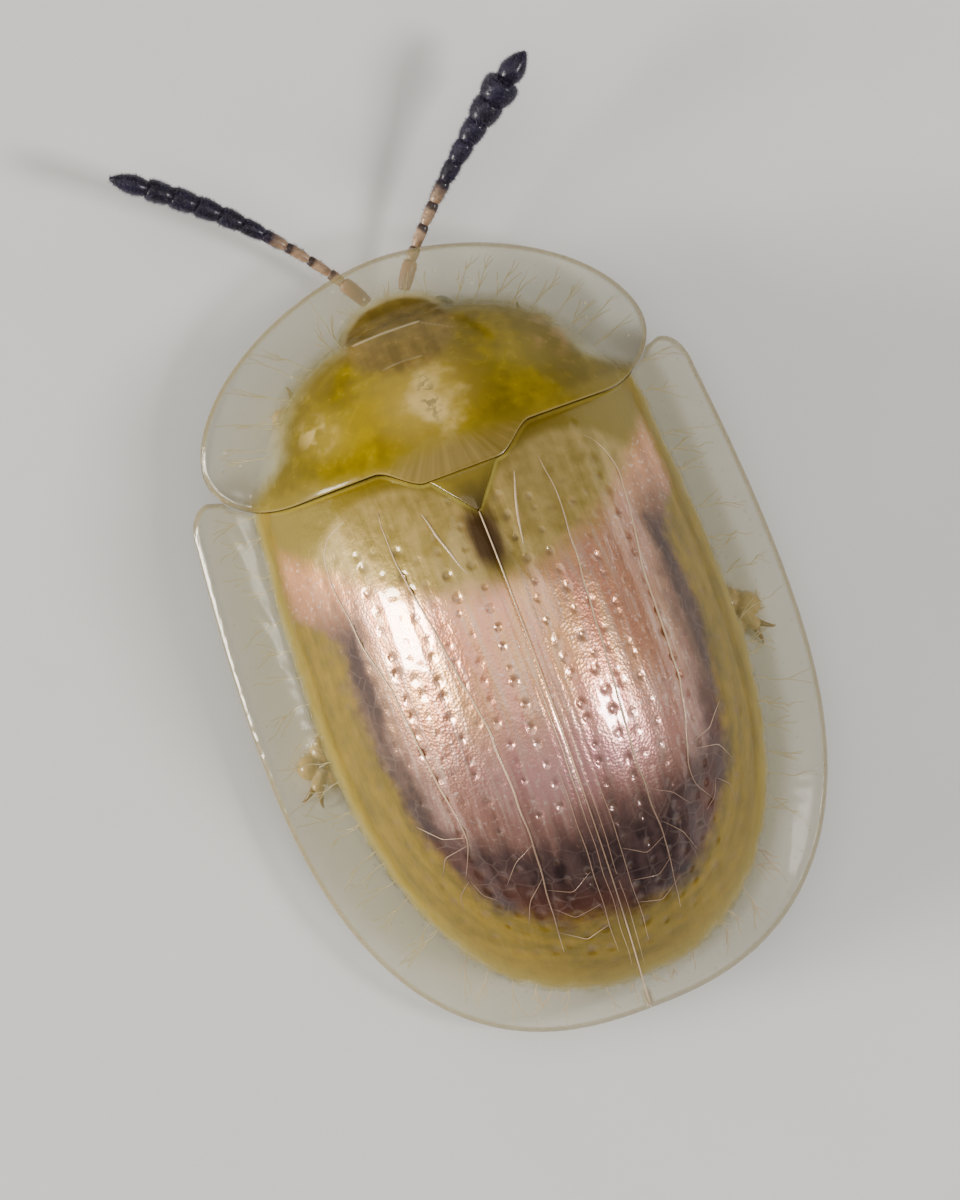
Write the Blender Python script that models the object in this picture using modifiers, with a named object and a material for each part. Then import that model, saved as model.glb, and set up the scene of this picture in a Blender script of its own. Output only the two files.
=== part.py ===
"""A tortoise beetle at life size, standing still on its six feet.

Frame: metres, +Z up, +Y towards the tail, +X to the beetle's left.  The origin
lies on the ground under the middle of the whole length, feelers included.
"""

import math

import bmesh
import bpy
import numpy as np
from mathutils import Matrix, Vector

MM = 0.001

# Whole animal, seen from above.
BODY_LENGTH = 7.0 * MM
FEELER_REACH = 1.47 * MM
APEX_Y = (BODY_LENGTH + FEELER_REACH) / 2
FRONT_Y = APEX_Y - BODY_LENGTH

# Gap kept between neighbouring pieces.
GAP = 0.06 * MM

# Pronotum, the shield over the head.
PRONOTUM_HALF_WIDTH = 2.06 * MM
PRONOTUM_WIDEST_Y = FRONT_Y + 1.29 * MM
PRONOTUM_FRONT_POWER = 1.78
PRONOTUM_HIND_Y = FRONT_Y + 1.80 * MM
PRONOTUM_LOBE_Y = FRONT_Y + 2.02 * MM
PRONOTUM_LOBE_INNER = 0.33 * MM
PRONOTUM_LOBE_OUTER = 0.72 * MM
PRONOTUM_CORNER_X = 1.41 * MM
PRONOTUM_DISC_HALF_WIDTH = 1.74 * MM
PRONOTUM_DISC_LENGTH = 1.44 * MM

# Elytra, the two wing cases.
ELYTRA_HALF_WIDTH = 2.45 * MM
SHOULDER_Y = FRONT_Y + 1.50 * MM
SHOULDER_INNER_X = 1.98 * MM
SHOULDER_TAPER = 0.16 * MM
SHOULDER_ROUND_X = 0.22 * MM
SHOULDER_ROUND_Y = 0.34 * MM
WIDEST_Y = FRONT_Y + 3.70 * MM
TAIL_POWER = 2.5
DISC_HALF_WIDTH = 1.90 * MM
DISC_END_Y = APEX_Y - 0.30 * MM
DISC_POWER = 2.3
FAN_END_Y = APEX_Y - 1.70 * MM
CALLUS_X = 1.60 * MM
CALLUS_Y = FRONT_Y + 2.20 * MM
CALLUS_RADIUS = 0.26 * MM
CALLUS_HEIGHT = 0.06 * MM

# Scutellum, the small triangle between their bases.
SCUTELLUM_HALF_WIDTH = 0.29 * MM
SCUTELLUM_FRONT_Y = PRONOTUM_LOBE_Y + GAP
SCUTELLUM_TIP_Y = FRONT_Y + 2.39 * MM
SCUTELLUM_TIP_HALF_WIDTH = 0.012 * MM
SCUTELLUM_THICKNESS = 0.28 * MM
SCUTELLUM_RISE = 0.02 * MM

# Heights above the ground.
CREST_Z = 2.56 * MM
CREST_Y = FRONT_Y + 3.45 * MM
CREST_FALL = 0.36 * MM
BASE_Z = 2.09 * MM
DISC_ROOT_Z = 0.66 * MM
RIM_Z = 0.42 * MM
SHIELD_RISE = 0.01 * MM
SHIELD_ROOT_Z = 0.86 * MM
SHIELD_FLANGE_DROP = 0.12 * MM
SHIELD_FLANGE_SHARE = 0.75
SHIELD_FRONT_Z = 0.62 * MM
SHIELD_SIDE_Z = 0.45 * MM
DOME_FULLNESS = 0.85
FILLET = 0.13 * MM

# Shell thickness, in the disc, where the margin starts and at the rim.
DISC_THICKNESS = 0.34 * MM
ROOT_THICKNESS = 0.18 * MM
RIM_THICKNESS = 0.10 * MM

# Trunk under the shell, cut across into prothorax, thorax and abdomen.
TRUNK_FRONT_Y = FRONT_Y + 1.04 * MM
TRUNK_END_Y = APEX_Y - 0.92 * MM
TRUNK_HALF_WIDTH = 1.42 * MM
TRUNK_SIDE_Z = 0.74 * MM
BELLY_DEPTH = 0.18 * MM
TRUNK_POWER = 2.6
TRUNK_SIDES = 30
TRUNK_ROWS = 10
WAIST_Y = FRONT_Y + 1.98 * MM
ABDOMEN_Y = FRONT_Y + 3.62 * MM
SEGMENT_LENGTH = 0.50 * MM
SEGMENT_GROOVE = 0.06 * MM

# Head, hanging face down under the shield.
HEAD_Y = FRONT_Y + 0.70 * MM
HEAD_Z = 0.38 * MM
HEAD_RADII = (0.48 * MM, 0.28 * MM, 0.20 * MM, 0.24 * MM)
EYE_PLACE = (0.42 * MM, FRONT_Y + 0.68 * MM, 0.38 * MM)
EYE_RADII = (0.14 * MM, 0.19 * MM, 0.15 * MM, 0.17 * MM)
MOUTH_Y = FRONT_Y + 0.86 * MM
MOUTH_Z = 0.17 * MM
MOUTH_SLIT = 0.05 * MM
JAW_X = 0.07 * MM
JAW_RADII = (0.11 * MM, 0.09 * MM, 0.08 * MM, 0.09 * MM)

# Legs on the left: hip, knee and ankle, then the tip of the foot, in millimetres
# from the midline, behind the shield's front edge and above the ground.
LEG_JOINTS = {
    "front": ((0.34, 1.50, 0.34), (1.04, 1.74, 0.37), (1.20, 1.34, 0.16), (1.04, 0.92, 0.07)),
    "middle": ((0.42, 2.75, 0.34), (1.34, 3.06, 0.37), (1.76, 3.74, 0.15), (2.08, 4.20, 0.07)),
    "hind": ((0.46, 3.36, 0.34), (1.22, 4.10, 0.37), (1.36, 4.92, 0.16), (1.30, 5.50, 0.07)),
}
COXA_RADII = (0.22 * MM, 0.20 * MM, 0.15 * MM, 0.15 * MM)
FEMUR_RADII = (0.11, 0.165, 0.185, 0.165, 0.11)
TIBIA_RADII = (0.09, 0.11, 0.125, 0.135)
CLAW_JOINT_RADII = (0.07, 0.075, 0.07)
PAD_SHARES = (0.06, 0.38, 0.70)
PAD_WIDTHS = (0.28, 0.34, 0.42)
PAD_LENGTH_SHARE = 0.44
PAD_CENTRE_Z = 0.06
PAD_HALF_HEIGHT = 0.13

# Feelers: eleven joints each, as shares of the length and of the full thickness, then the side
# that each is on and the curve that it follows, measured as for the legs.
FEELER_RADIUS = 0.100
FEELER_LENGTHS = (1.25, 0.6, 1.0, 1.0, 1.0, 0.9, 0.95, 1.0, 1.0, 1.0, 1.5)
FEELER_WIDTHS = {
    "antenna_left": (0.72, 0.54, 0.50, 0.52, 0.61, 0.75, 0.87, 0.95, 1.0, 1.0, 0.90),
    "antenna_right": (0.72, 0.57, 0.54, 0.57, 0.65, 0.77, 0.88, 1.04, 1.36, 1.62, 1.08),
}
JOINT_SHAPE = ((0.08, 0.62), (0.40, 0.92), (0.78, 1.0), (0.97, 0.70))
LAST_JOINT_SHAPE = ((0.08, 0.65), (0.35, 1.0), (0.72, 0.75), (1.0, 0.2))
FEELER_PATHS = {
    "antenna_left": (1, (0.17, 0.34, 0.33), (0.40, -0.10, 0.34), (0.95, -0.80, 0.60), (1.93, -1.45, 0.80)),
    "antenna_right": (-1, (0.17, 0.34, 0.33), (0.45, -0.15, 0.34), (1.15, -0.75, 0.60), (1.87, -1.23, 0.80)),
}

# Mesh fineness.
ELYTRON_RAYS = 30
ELYTRON_DISC_RINGS = 11
ELYTRON_MARGIN_RINGS = 4
SHIELD_COLUMNS = 44
SHIELD_ROWS = 13


def clear_scene():
    """Removes the objects that a new scene starts with."""
    for obj in list(bpy.data.objects):
        bpy.data.objects.remove(obj, do_unlink=True)


def make_collection(name):
    collection = bpy.data.collections.new(name)
    bpy.context.scene.collection.children.link(collection)
    return collection


clear_scene()
PARTS = make_collection("tortoise_beetle")
CUTTERS = make_collection("cutters")


def make_material(name, colour, roughness, metallic=0.0, alpha=1.0):
    material = bpy.data.materials.new(name)
    material.use_nodes = True
    shader = material.node_tree.nodes["Principled BSDF"]
    shader.inputs["Base Color"].default_value = (*colour, 1.0)
    shader.inputs["Roughness"].default_value = roughness
    shader.inputs["Metallic"].default_value = metallic
    shader.inputs["Alpha"].default_value = alpha
    return material


SHELL = make_material("elytra_shell", (0.66, 0.50, 0.40), 0.22, 0.35)
SHIELD = make_material("pronotum_shell", (0.50, 0.43, 0.08), 0.25)
SCUTELLUM = make_material("scutellum_shell", (0.34, 0.30, 0.07), 0.3)
BODY = make_material("body_cuticle", (0.42, 0.34, 0.12), 0.4)
LEG = make_material("leg_cuticle", (0.55, 0.42, 0.16), 0.4)
EYE = make_material("eye", (0.015, 0.012, 0.012), 0.15)
FEELER = make_material("feeler", (0.05, 0.035, 0.05), 0.5)


def add_object(name, mesh, material, collection=PARTS):
    mesh.materials.clear()
    mesh.materials.append(material)
    obj = bpy.data.objects.new(name, mesh)
    collection.objects.link(obj)
    return obj


def evaluated_mesh(obj):
    """A plain mesh of the object as its modifiers leave it."""
    bpy.context.view_layer.update()
    graph = bpy.context.evaluated_depsgraph_get()
    return bpy.data.meshes.new_from_object(obj.evaluated_get(graph))


def applied(obj):
    """The object with its modifiers made part of its mesh."""
    mesh = evaluated_mesh(obj)
    obj.modifiers.clear()
    obj.vertex_groups.clear()
    obj.data = mesh
    return obj


def turn_outward(work):
    """Makes every face of a closed body point away from its inside."""
    bmesh.ops.recalc_face_normals(work, faces=work.faces)
    if work.calc_volume(signed=True) < 0:
        bmesh.ops.reverse_faces(work, faces=work.faces)


def mirrored(mesh, name):
    """The same mesh for the other side of the body."""
    copy = mesh.copy()
    copy.name = name
    copy.transform(Matrix.Scale(-1.0, 4, (1.0, 0.0, 0.0)))
    copy.flip_normals()
    return copy


def signed_power(value, power):
    return np.sign(value) * np.abs(value) ** power


def smooth_step(value):
    value = np.clip(value, 0.0, 1.0)
    return value * value * (3.0 - 2.0 * value)


def resample(points, shares):
    """Points at these shares of a polyline's length."""
    points = np.asarray(points)
    steps = np.linalg.norm(np.diff(points, axis=0), axis=1)
    along = np.concatenate([[0.0], np.cumsum(steps)]) / steps.sum()
    return np.stack([np.interp(shares, along, column) for column in points.T], axis=1)


# Outlines seen from above.


def side_taper(y):
    """How much narrower than at the widest place each side is, further forward."""
    return SHOULDER_TAPER * np.clip((WIDEST_Y - y) / (WIDEST_Y - SHOULDER_Y), 0.0, 1.5) ** 1.7


def superellipse(x, y, half_width, end_y, power):
    """0 at the widest place on the midline, 1 on an outline that closes behind it."""
    behind = np.clip((y - WIDEST_Y) / (end_y - WIDEST_Y), 0.0, None)
    return ((np.abs(x) / half_width) ** power + behind**power) ** (1 / power)


def hind_edge_y(x, grow=0.0):
    """The pronotum's hind edge at a distance x from the midline, or a line that far behind it."""
    x = np.abs(x)
    lobe = 1.0 - smooth_step((x - PRONOTUM_LOBE_INNER) / (PRONOTUM_LOBE_OUTER - PRONOTUM_LOBE_INNER))
    half_width = PRONOTUM_HALF_WIDTH + grow
    corner = np.clip((x - PRONOTUM_CORNER_X) / (half_width - PRONOTUM_CORNER_X), 0.0, 1.0)
    depth = PRONOTUM_HIND_Y + grow - PRONOTUM_WIDEST_Y
    straight = PRONOTUM_HIND_Y + grow + (PRONOTUM_LOBE_Y - PRONOTUM_HIND_Y) * lobe
    return straight - depth * (1.0 - np.sqrt(1.0 - corner**2))


def shield_front_y(x):
    """The pronotum's front edge at a distance x from the midline."""
    curve = np.clip(1.0 - (np.abs(x) / PRONOTUM_HALF_WIDTH) ** PRONOTUM_FRONT_POWER, 0.0, 1.0)
    return PRONOTUM_WIDEST_Y - (PRONOTUM_WIDEST_Y - FRONT_Y) * curve ** (1 / PRONOTUM_FRONT_POWER)


def shoulder(turn):
    """The elytron's rounded front corner, from its front at no turn to its side at a quarter turn."""
    side_x = ELYTRA_HALF_WIDTH - side_taper(SHOULDER_Y + SHOULDER_ROUND_Y)
    x = side_x - SHOULDER_ROUND_X * (1.0 - np.sin(turn))
    return np.stack([x, SHOULDER_Y + SHOULDER_ROUND_Y * (1.0 - np.cos(turn))], 1)


def elytron_rim(shares):
    """The left elytron's free edge, from the middle of the rounded corner to the apex."""
    turn = np.linspace(0.0, math.pi / 2, 60)
    side_y = np.linspace(SHOULDER_Y + SHOULDER_ROUND_Y, WIDEST_Y, 60)[1:]
    tail_x = ELYTRA_HALF_WIDTH * np.cos(turn) ** (2 / TAIL_POWER)
    tail_y = WIDEST_Y + (APEX_Y - WIDEST_Y) * np.sin(turn) ** (2 / TAIL_POWER)
    points = [
        shoulder(np.linspace(math.pi / 4, math.pi / 2, 30)),
        np.stack([ELYTRA_HALF_WIDTH - side_taper(side_y), side_y], 1),
        np.stack([np.maximum(tail_x, GAP / 2), tail_y], 1)[1:],
    ]
    return resample(np.concatenate(points), shares)


def elytron_inner_edge(shares):
    """The left elytron's other edge, beside the scutellum and then along the suture."""
    y = SCUTELLUM_FRONT_Y + (FAN_END_Y - SCUTELLUM_FRONT_Y) * shares**0.9
    beside = np.clip((SCUTELLUM_TIP_Y + GAP - y) / (SCUTELLUM_TIP_Y + GAP - SCUTELLUM_FRONT_Y), 0.0, 1.0)
    return np.stack([GAP / 2 + (SCUTELLUM_HALF_WIDTH + GAP) * beside, y], 1)


def elytron_base(shares):
    """The left elytron's front edge, from the scutellum to the middle of the rounded corner."""
    x = np.linspace(GAP / 2 + SCUTELLUM_HALF_WIDTH + GAP, SHOULDER_INNER_X, 120)
    behind_pronotum = np.stack([x, hind_edge_y(x, GAP)], 1)
    return resample(np.concatenate([behind_pronotum, shoulder(np.linspace(0.0, math.pi / 4, 30))]), shares)


# The convex surface that the shell plates share.


def disc_share(x, y):
    """0 on the midline and 1 where the elytra's raised disc ends."""
    side = np.abs(x) / (DISC_HALF_WIDTH - side_taper(y))
    return np.where(y < WIDEST_Y, side, superellipse(x, y, DISC_HALF_WIDTH, DISC_END_Y, DISC_POWER))


def margin_share(x, y):
    """0 on the elytra's raised disc, rising to 1 at their rim."""
    side = np.abs(x) / (ELYTRA_HALF_WIDTH - side_taper(y))
    rim = np.where(y < WIDEST_Y, side, superellipse(x, y, ELYTRA_HALF_WIDTH, APEX_Y, TAIL_POWER))
    outside = disc_share(x, y) - 1.0
    return np.clip(outside / np.maximum(outside + 1.0 - rim, 1e-9), 0.0, 1.0)


def smooth_max(a, b):
    return (a + b + np.sqrt((a - b) ** 2 + FILLET**2)) / 2 - FILLET / 8


def elytra_height(x, y):
    ahead = np.clip((CREST_Y - y) / (CREST_Y - PRONOTUM_LOBE_Y), 0.0, 1.6)
    behind = np.clip((y - CREST_Y) / (APEX_Y - CREST_Y), 0.0, 1.0)
    crest = CREST_Z - (CREST_Z - BASE_Z) * ahead**2 - CREST_FALL * behind**1.7
    arch = signed_power(1.0 - disc_share(x, y) ** DISC_POWER, DOME_FULLNESS)
    dome = DISC_ROOT_Z + (crest - DISC_ROOT_Z) * arch
    flange = RIM_Z + (DISC_ROOT_Z - RIM_Z) * (1.0 - margin_share(x, y)) ** 1.3
    away = ((np.abs(x) - CALLUS_X) ** 2 + (y - CALLUS_Y) ** 2) / CALLUS_RADIUS**2
    return smooth_max(dome, flange) + CALLUS_HEIGHT * np.exp(-away)


def shield_arch(x, y):
    """1 in the middle of the pronotum's hind edge, 0 where its raised disc ends."""
    ahead = np.clip((PRONOTUM_LOBE_Y - y) / PRONOTUM_DISC_LENGTH, 0.0, None) ** 1.7
    across = (np.abs(x) / PRONOTUM_DISC_HALF_WIDTH) ** DISC_POWER
    return 1.0 - ahead - across


def shield_height(x, y):
    arch = shield_arch(x, y)
    dome = SHIELD_ROOT_Z + (BASE_Z + SHIELD_RISE - SHIELD_ROOT_Z) * signed_power(arch, DOME_FULLNESS)
    ahead = np.clip((PRONOTUM_WIDEST_Y - y) / (PRONOTUM_WIDEST_Y - FRONT_Y), 0.0, 1.0)
    rim = SHIELD_SIDE_Z + (SHIELD_FRONT_Z - SHIELD_SIDE_Z) * ahead
    out = np.clip(-arch / SHIELD_FLANGE_SHARE, 0.0, 1.0)
    flange = rim + (SHIELD_ROOT_Z - SHIELD_FLANGE_DROP - rim) * (1.0 - out) ** 1.3
    return smooth_max(dome, flange)


def wall_thickness(inside, outside):
    """From the disc, where inside is 1, to the rim, where outside is 1."""
    disc = ROOT_THICKNESS + (DISC_THICKNESS - ROOT_THICKNESS) * smooth_step(inside)
    return np.where(outside > 0.0, ROOT_THICKNESS + (RIM_THICKNESS - ROOT_THICKNESS) * outside, disc)


def elytra_thickness(x, y):
    return wall_thickness((1.0 - disc_share(x, y)) * 4.0, margin_share(x, y))


def shield_thickness(x, y):
    arch = shield_arch(x, y)
    return wall_thickness(arch * 2.0, np.clip(-arch / SHIELD_FLANGE_SHARE, 0.0, 1.0))


def scutellum_thickness(x, y):
    return SCUTELLUM_THICKNESS + 0.0 * x


def ceiling(height, x, y):
    """The highest point that stays clear of the wall under a surface, measured square to it."""
    depth = DISC_THICKNESS + 1.5 * GAP
    turns = np.linspace(0.0, 2 * math.pi, 16, endpoint=False)
    lowest = height(x, y) - depth
    for share in (0.35, 0.7, 0.9, 1.0):
        reach = share * depth
        drop = math.sqrt(max(depth**2 - reach**2, 0.0))
        around = height(x + reach * np.cos(turns), y + reach * np.sin(turns)) - drop
        lowest = min(lowest, around.min())
    return lowest


def trunk_top(x, y):
    """Under the pronotum ahead, under the elytra behind, and under both where they meet."""
    near = DISC_THICKNESS + 3 * GAP
    tops = []
    if y < PRONOTUM_LOBE_Y + near:
        tops.append(ceiling(shield_height, x, y))
    if y > PRONOTUM_HIND_Y - near:
        tops.append(ceiling(elytra_height, x, y))
    return min(tops)


# Shell plates.


def plate(name, columns, rows, place, thickness, material):
    """A grid whose points are placed by a function of (u, v), with a wall grown inwards."""
    mesh = bpy.data.meshes.new(name)
    work = bmesh.new()
    bmesh.ops.create_grid(work, x_segments=columns, y_segments=rows, size=1.0)
    flat = np.array([vert.co[:] for vert in work.verts])
    for vert, point in zip(work.verts, place((flat[:, 0] + 1) / 2, (flat[:, 1] + 1) / 2)):
        vert.co = point
    bmesh.ops.remove_doubles(work, verts=work.verts, dist=1e-7)
    bmesh.ops.recalc_face_normals(work, faces=work.faces)
    if sum(face.normal.z for face in work.faces) < 0:
        bmesh.ops.reverse_faces(work, faces=work.faces)
    bmesh.ops.triangulate(work, faces=work.faces, quad_method="FIXED")
    work.to_mesh(mesh)
    work.free()
    mesh.shade_smooth()
    obj = add_object(name, mesh, material)
    points = np.array([vert.co[:] for vert in mesh.vertices])
    wall_depths = thickness(points[:, 0], points[:, 1])
    group = obj.vertex_groups.new(name="thickness")
    for index, depth in enumerate(wall_depths):
        group.add([index], depth / wall_depths.max(), "REPLACE")
    wall = obj.modifiers.new("wall", "SOLIDIFY")
    wall.thickness = wall_depths.max()
    wall.offset = -1.0
    wall.vertex_group = group.name
    wall.use_quality_normals = True
    return applied(obj)


def elytron_row(u, shares):
    """Points across the elytron, from its inner edge to its rim: the base at u = 0, the suture at 1."""
    start, end = elytron_base(np.array([0.0, 1.0]))
    bend = elytron_base(shares) - (start + shares[:, None] * (end - start))
    inner, rim = elytron_inner_edge(np.array([u])), elytron_rim(np.array([u]))
    return inner + shares[:, None] * (rim - inner) + (1.0 - u) * bend


def elytron_place(u, v):
    """Rows from the suture to the rim, like a fan over the tail, with one ring on the disc's edge."""
    fine = np.linspace(0.0, 1.0, 240)
    disc_rings = ELYTRON_DISC_RINGS / (ELYTRON_DISC_RINGS + ELYTRON_MARGIN_RINGS)
    points = np.zeros((len(u), 2))
    for row in np.unique(np.round(u, 6)):
        here = np.abs(u - row) < 1e-4
        disc_end = np.interp(1.0, disc_share(*elytron_row(row, fine).T), fine)
        shares = np.interp(v[here], [0.0, disc_rings, 1.0], [0.0, disc_end, 1.0])
        points[here] = elytron_row(row, shares)
    return np.column_stack([points, elytra_height(points[:, 0], points[:, 1])])


def shield_place(u, v):
    """Columns from the front edge (v = 0) to the hind edge (v = 1), closer together at the sides."""
    x = PRONOTUM_HALF_WIDTH * np.sin(math.pi * (u - 0.5))
    front = shield_front_y(x)
    y = front + (hind_edge_y(x) - front) * v
    return np.column_stack([x, y, shield_height(x, y)])


def scutellum_place(u, v):
    y = SCUTELLUM_FRONT_Y + (SCUTELLUM_TIP_Y - SCUTELLUM_FRONT_Y) * v
    half_width = SCUTELLUM_HALF_WIDTH * (1.0 - v) + SCUTELLUM_TIP_HALF_WIDTH
    x = half_width * (2.0 * u - 1.0)
    return np.column_stack([x, y, elytra_height(x, y) + SCUTELLUM_RISE])


def make_elytra():
    rings = ELYTRON_DISC_RINGS + ELYTRON_MARGIN_RINGS
    left = plate("elytron_left", ELYTRON_RAYS, rings, elytron_place, elytra_thickness, SHELL)
    for vert in left.data.vertices:
        vert.co.x = max(vert.co.x, GAP / 2)
        if vert.co.x < SHOULDER_INNER_X:
            vert.co.y = max(vert.co.y, float(hind_edge_y(vert.co.x, GAP)))
    add_object("elytron_right", mirrored(left.data, "elytron_right"), SHELL)


def make_pronotum():
    pronotum = plate("pronotum", SHIELD_COLUMNS, SHIELD_ROWS, shield_place, shield_thickness, SHIELD)
    for vert in pronotum.data.vertices:
        if vert.co.y > PRONOTUM_WIDEST_Y:
            edge = hind_edge_y(min(abs(vert.co.x), PRONOTUM_HALF_WIDTH))
            vert.co.y = min(vert.co.y, float(edge))


# Soft body under the shell.


def ball(name, centre, radii, material, segments=20, rings=12, squareness=1.0, collection=CUTTERS):
    """A rounded closed body with poles along Y: radii are (x, y, up, down)."""
    mesh = bpy.data.meshes.new(name)
    work = bmesh.new()
    bmesh.ops.create_uvsphere(work, u_segments=segments, v_segments=rings, radius=1.0)
    bmesh.ops.rotate(work, verts=work.verts, matrix=Matrix.Rotation(math.pi / 2, 3, "X"))
    for vert in work.verts:
        unit = signed_power(np.array(vert.co), squareness)
        height = radii[2] if unit[2] > 0 else radii[3]
        vert.co = Vector(centre) + Vector((unit[0] * radii[0], unit[1] * radii[1], unit[2] * height))
    work.to_mesh(mesh)
    work.free()
    mesh.shade_smooth()
    return add_object(name, mesh, material, collection)


def loft(name, sections, material):
    """A closed body through a row of like rings, with a fan over each end."""
    mesh = bpy.data.meshes.new(name)
    work = bmesh.new()
    rings = [[work.verts.new(point) for point in section] for section in sections]
    for ring, following in zip(rings, rings[1:]):
        for index in range(len(ring)):
            work.faces.new((ring[index], ring[index - 1], following[index - 1], following[index]))
    for ring, section in ((rings[0], sections[0]), (rings[-1], sections[-1])):
        middle = work.verts.new(np.mean(section, axis=0))
        for index in range(len(ring)):
            work.faces.new((ring[index - 1], ring[index], middle))
    turn_outward(work)
    work.to_mesh(mesh)
    work.free()
    mesh.shade_smooth()
    return add_object(name, mesh, material)


def trunk_section(y):
    """One ring round the trunk, following the shell above and the segments of the belly below."""
    along = abs(2.0 * y - TRUNK_FRONT_Y - TRUNK_END_Y) / (TRUNK_END_Y - TRUNK_FRONT_Y)
    size = (1.0 - along**TRUNK_POWER) ** (1 / TRUNK_POWER)
    turns = np.linspace(0.0, 2 * math.pi, TRUNK_SIDES, endpoint=False)
    groove = 0.0
    if y > ABDOMEN_Y:
        inside = ((y - ABDOMEN_Y) / SEGMENT_LENGTH) % 1.0
        groove = SEGMENT_GROOVE * abs(2.0 * inside - 1.0) ** 3
    points = []
    for across, rise in zip(signed_power(np.cos(turns), 0.8), signed_power(np.sin(turns), 0.8)):
        x = TRUNK_HALF_WIDTH * size * across
        height = max(trunk_top(x, y) - TRUNK_SIDE_Z, GAP) if rise > 0 else BELLY_DEPTH - groove
        points.append((x, y, TRUNK_SIDE_Z + height * rise * size**0.5))
    return points


def make_trunk():
    """Prothorax, thorax and abdomen, parted by flat cuts across one body."""
    quarter = np.linspace(0.06, math.pi / 2, TRUNK_ROWS)
    waist, joint = WAIST_Y - GAP / 2, ABDOMEN_Y + GAP / 2
    prothorax = waist - (waist - TRUNK_FRONT_Y) * np.cos(quarter)
    thorax = np.linspace(WAIST_Y + GAP / 2, ABDOMEN_Y - GAP / 2, TRUNK_ROWS)
    whole_quarter = np.linspace(0.0, math.pi / 2 - 0.06, 2 * TRUNK_ROWS)
    abdomen = joint + (TRUNK_END_Y - joint) * np.sin(whole_quarter)
    for name, rows in (("prothorax", prothorax), ("thorax", thorax), ("abdomen", abdomen)):
        loft(name, [trunk_section(y) for y in rows], BODY)


def with_boolean(obj, operation, others):
    """The object joined with, or cut by, the other closed pieces, which are then removed."""
    group = bpy.data.collections.new(obj.name + "_others")
    for other in others:
        group.objects.link(other)
    change = obj.modifiers.new(operation.lower(), "BOOLEAN")
    change.operation = operation
    change.operand_type = "COLLECTION"
    change.collection = group
    change.solver = "EXACT"
    applied(obj)
    for other in others:
        bpy.data.objects.remove(other, do_unlink=True)
    bpy.data.collections.remove(group)
    obj.data.shade_smooth()
    return obj


def make_head():
    """A flattened capsule with two jaws, a slit between them, and an eye in a socket at each side."""
    head = ball("head", (0.0, HEAD_Y, HEAD_Z), HEAD_RADII, BODY, 24, 16, 0.9, PARTS)
    jaws = [ball("jaw", (side * JAW_X, MOUTH_Y, MOUTH_Z), JAW_RADII, BODY, 10, 8) for side in (-1, 1)]
    with_boolean(head, "UNION", jaws)
    slit_centre = (0.0, MOUTH_Y, MOUTH_Z - JAW_RADII[2])
    hollows = [ball("slit", slit_centre, (MOUTH_SLIT / 2, 0.2 * MM, JAW_RADII[2], JAW_RADII[2]), BODY, 8, 6)]
    for side, name in ((1, "eye_left"), (-1, "eye_right")):
        place = (side * EYE_PLACE[0], EYE_PLACE[1], EYE_PLACE[2])
        ball(name, place, EYE_RADII, EYE, 14, 10, 1.0, PARTS)
        hollows.append(ball("socket", place, [radius + GAP for radius in EYE_RADII], BODY, 14, 10))
    with_boolean(head, "DIFFERENCE", hollows)


# Legs and feelers.


def from_front(point):
    """A place in metres from millimetres behind the shield's front edge."""
    return Vector((point[0] * MM, FRONT_Y + point[1] * MM, point[2] * MM))


def tube(name, points, radii, material, fineness, collection=CUTTERS):
    """A bar of changing thickness through these points, as a closed mesh."""
    curve = bpy.data.curves.new(name, "CURVE")
    curve.dimensions = "3D"
    curve.bevel_depth = MM
    curve.bevel_resolution = fineness
    curve.use_fill_caps = True
    spline = curve.splines.new("POLY")
    spline.points.add(len(points) - 1)
    for target, point, radius in zip(spline.points, points, radii):
        target.co = (*point, 1.0)
        target.radius = radius
    guide = bpy.data.objects.new(name, curve)
    collection.objects.link(guide)
    mesh = evaluated_mesh(guide)
    bpy.data.objects.remove(guide, do_unlink=True)
    work = bmesh.new()
    work.from_mesh(mesh)
    bmesh.ops.remove_doubles(work, verts=work.verts, dist=1e-7)
    turn_outward(work)
    work.to_mesh(mesh)
    work.free()
    mesh.shade_smooth()
    return add_object(name, mesh, material, collection)


def limb(name, start, end, radii, fineness):
    steps = len(radii) - 1
    return tube(name, [start.lerp(end, k / steps) for k in range(steps + 1)], radii, LEG, fineness)


def foot_pad(place, heading, length, width):
    """One flat joint of a foot, whose lower half reaches under the ground before the sole is cut."""
    radii = (length / 2, width * MM / 2, PAD_HALF_HEIGHT * MM, PAD_HALF_HEIGHT * MM)
    pad = ball("pad", (0.0, 0.0, 0.0), radii, LEG, 10, 6, 0.8)
    pad.data.transform(Matrix.Translation(place) @ Matrix.Rotation(heading, 4, "Z"))
    return pad


def cut_sole(mesh):
    """Cuts away what lies under the ground and closes the cut."""
    work = bmesh.new()
    work.from_mesh(mesh)
    cut = bmesh.ops.bisect_plane(
        work,
        geom=work.verts[:] + work.edges[:] + work.faces[:],
        dist=1e-9,
        plane_co=(0.0, 0.0, 0.0),
        plane_no=(0.0, 0.0, 1.0),
        clear_inner=True,
    )
    rim = [edge for edge in cut["geom_cut"] if isinstance(edge, bmesh.types.BMEdge)]
    bmesh.ops.holes_fill(work, edges=rim, sides=0)
    turn_outward(work)
    work.to_mesh(mesh)
    work.free()
    mesh.shade_smooth()


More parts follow.
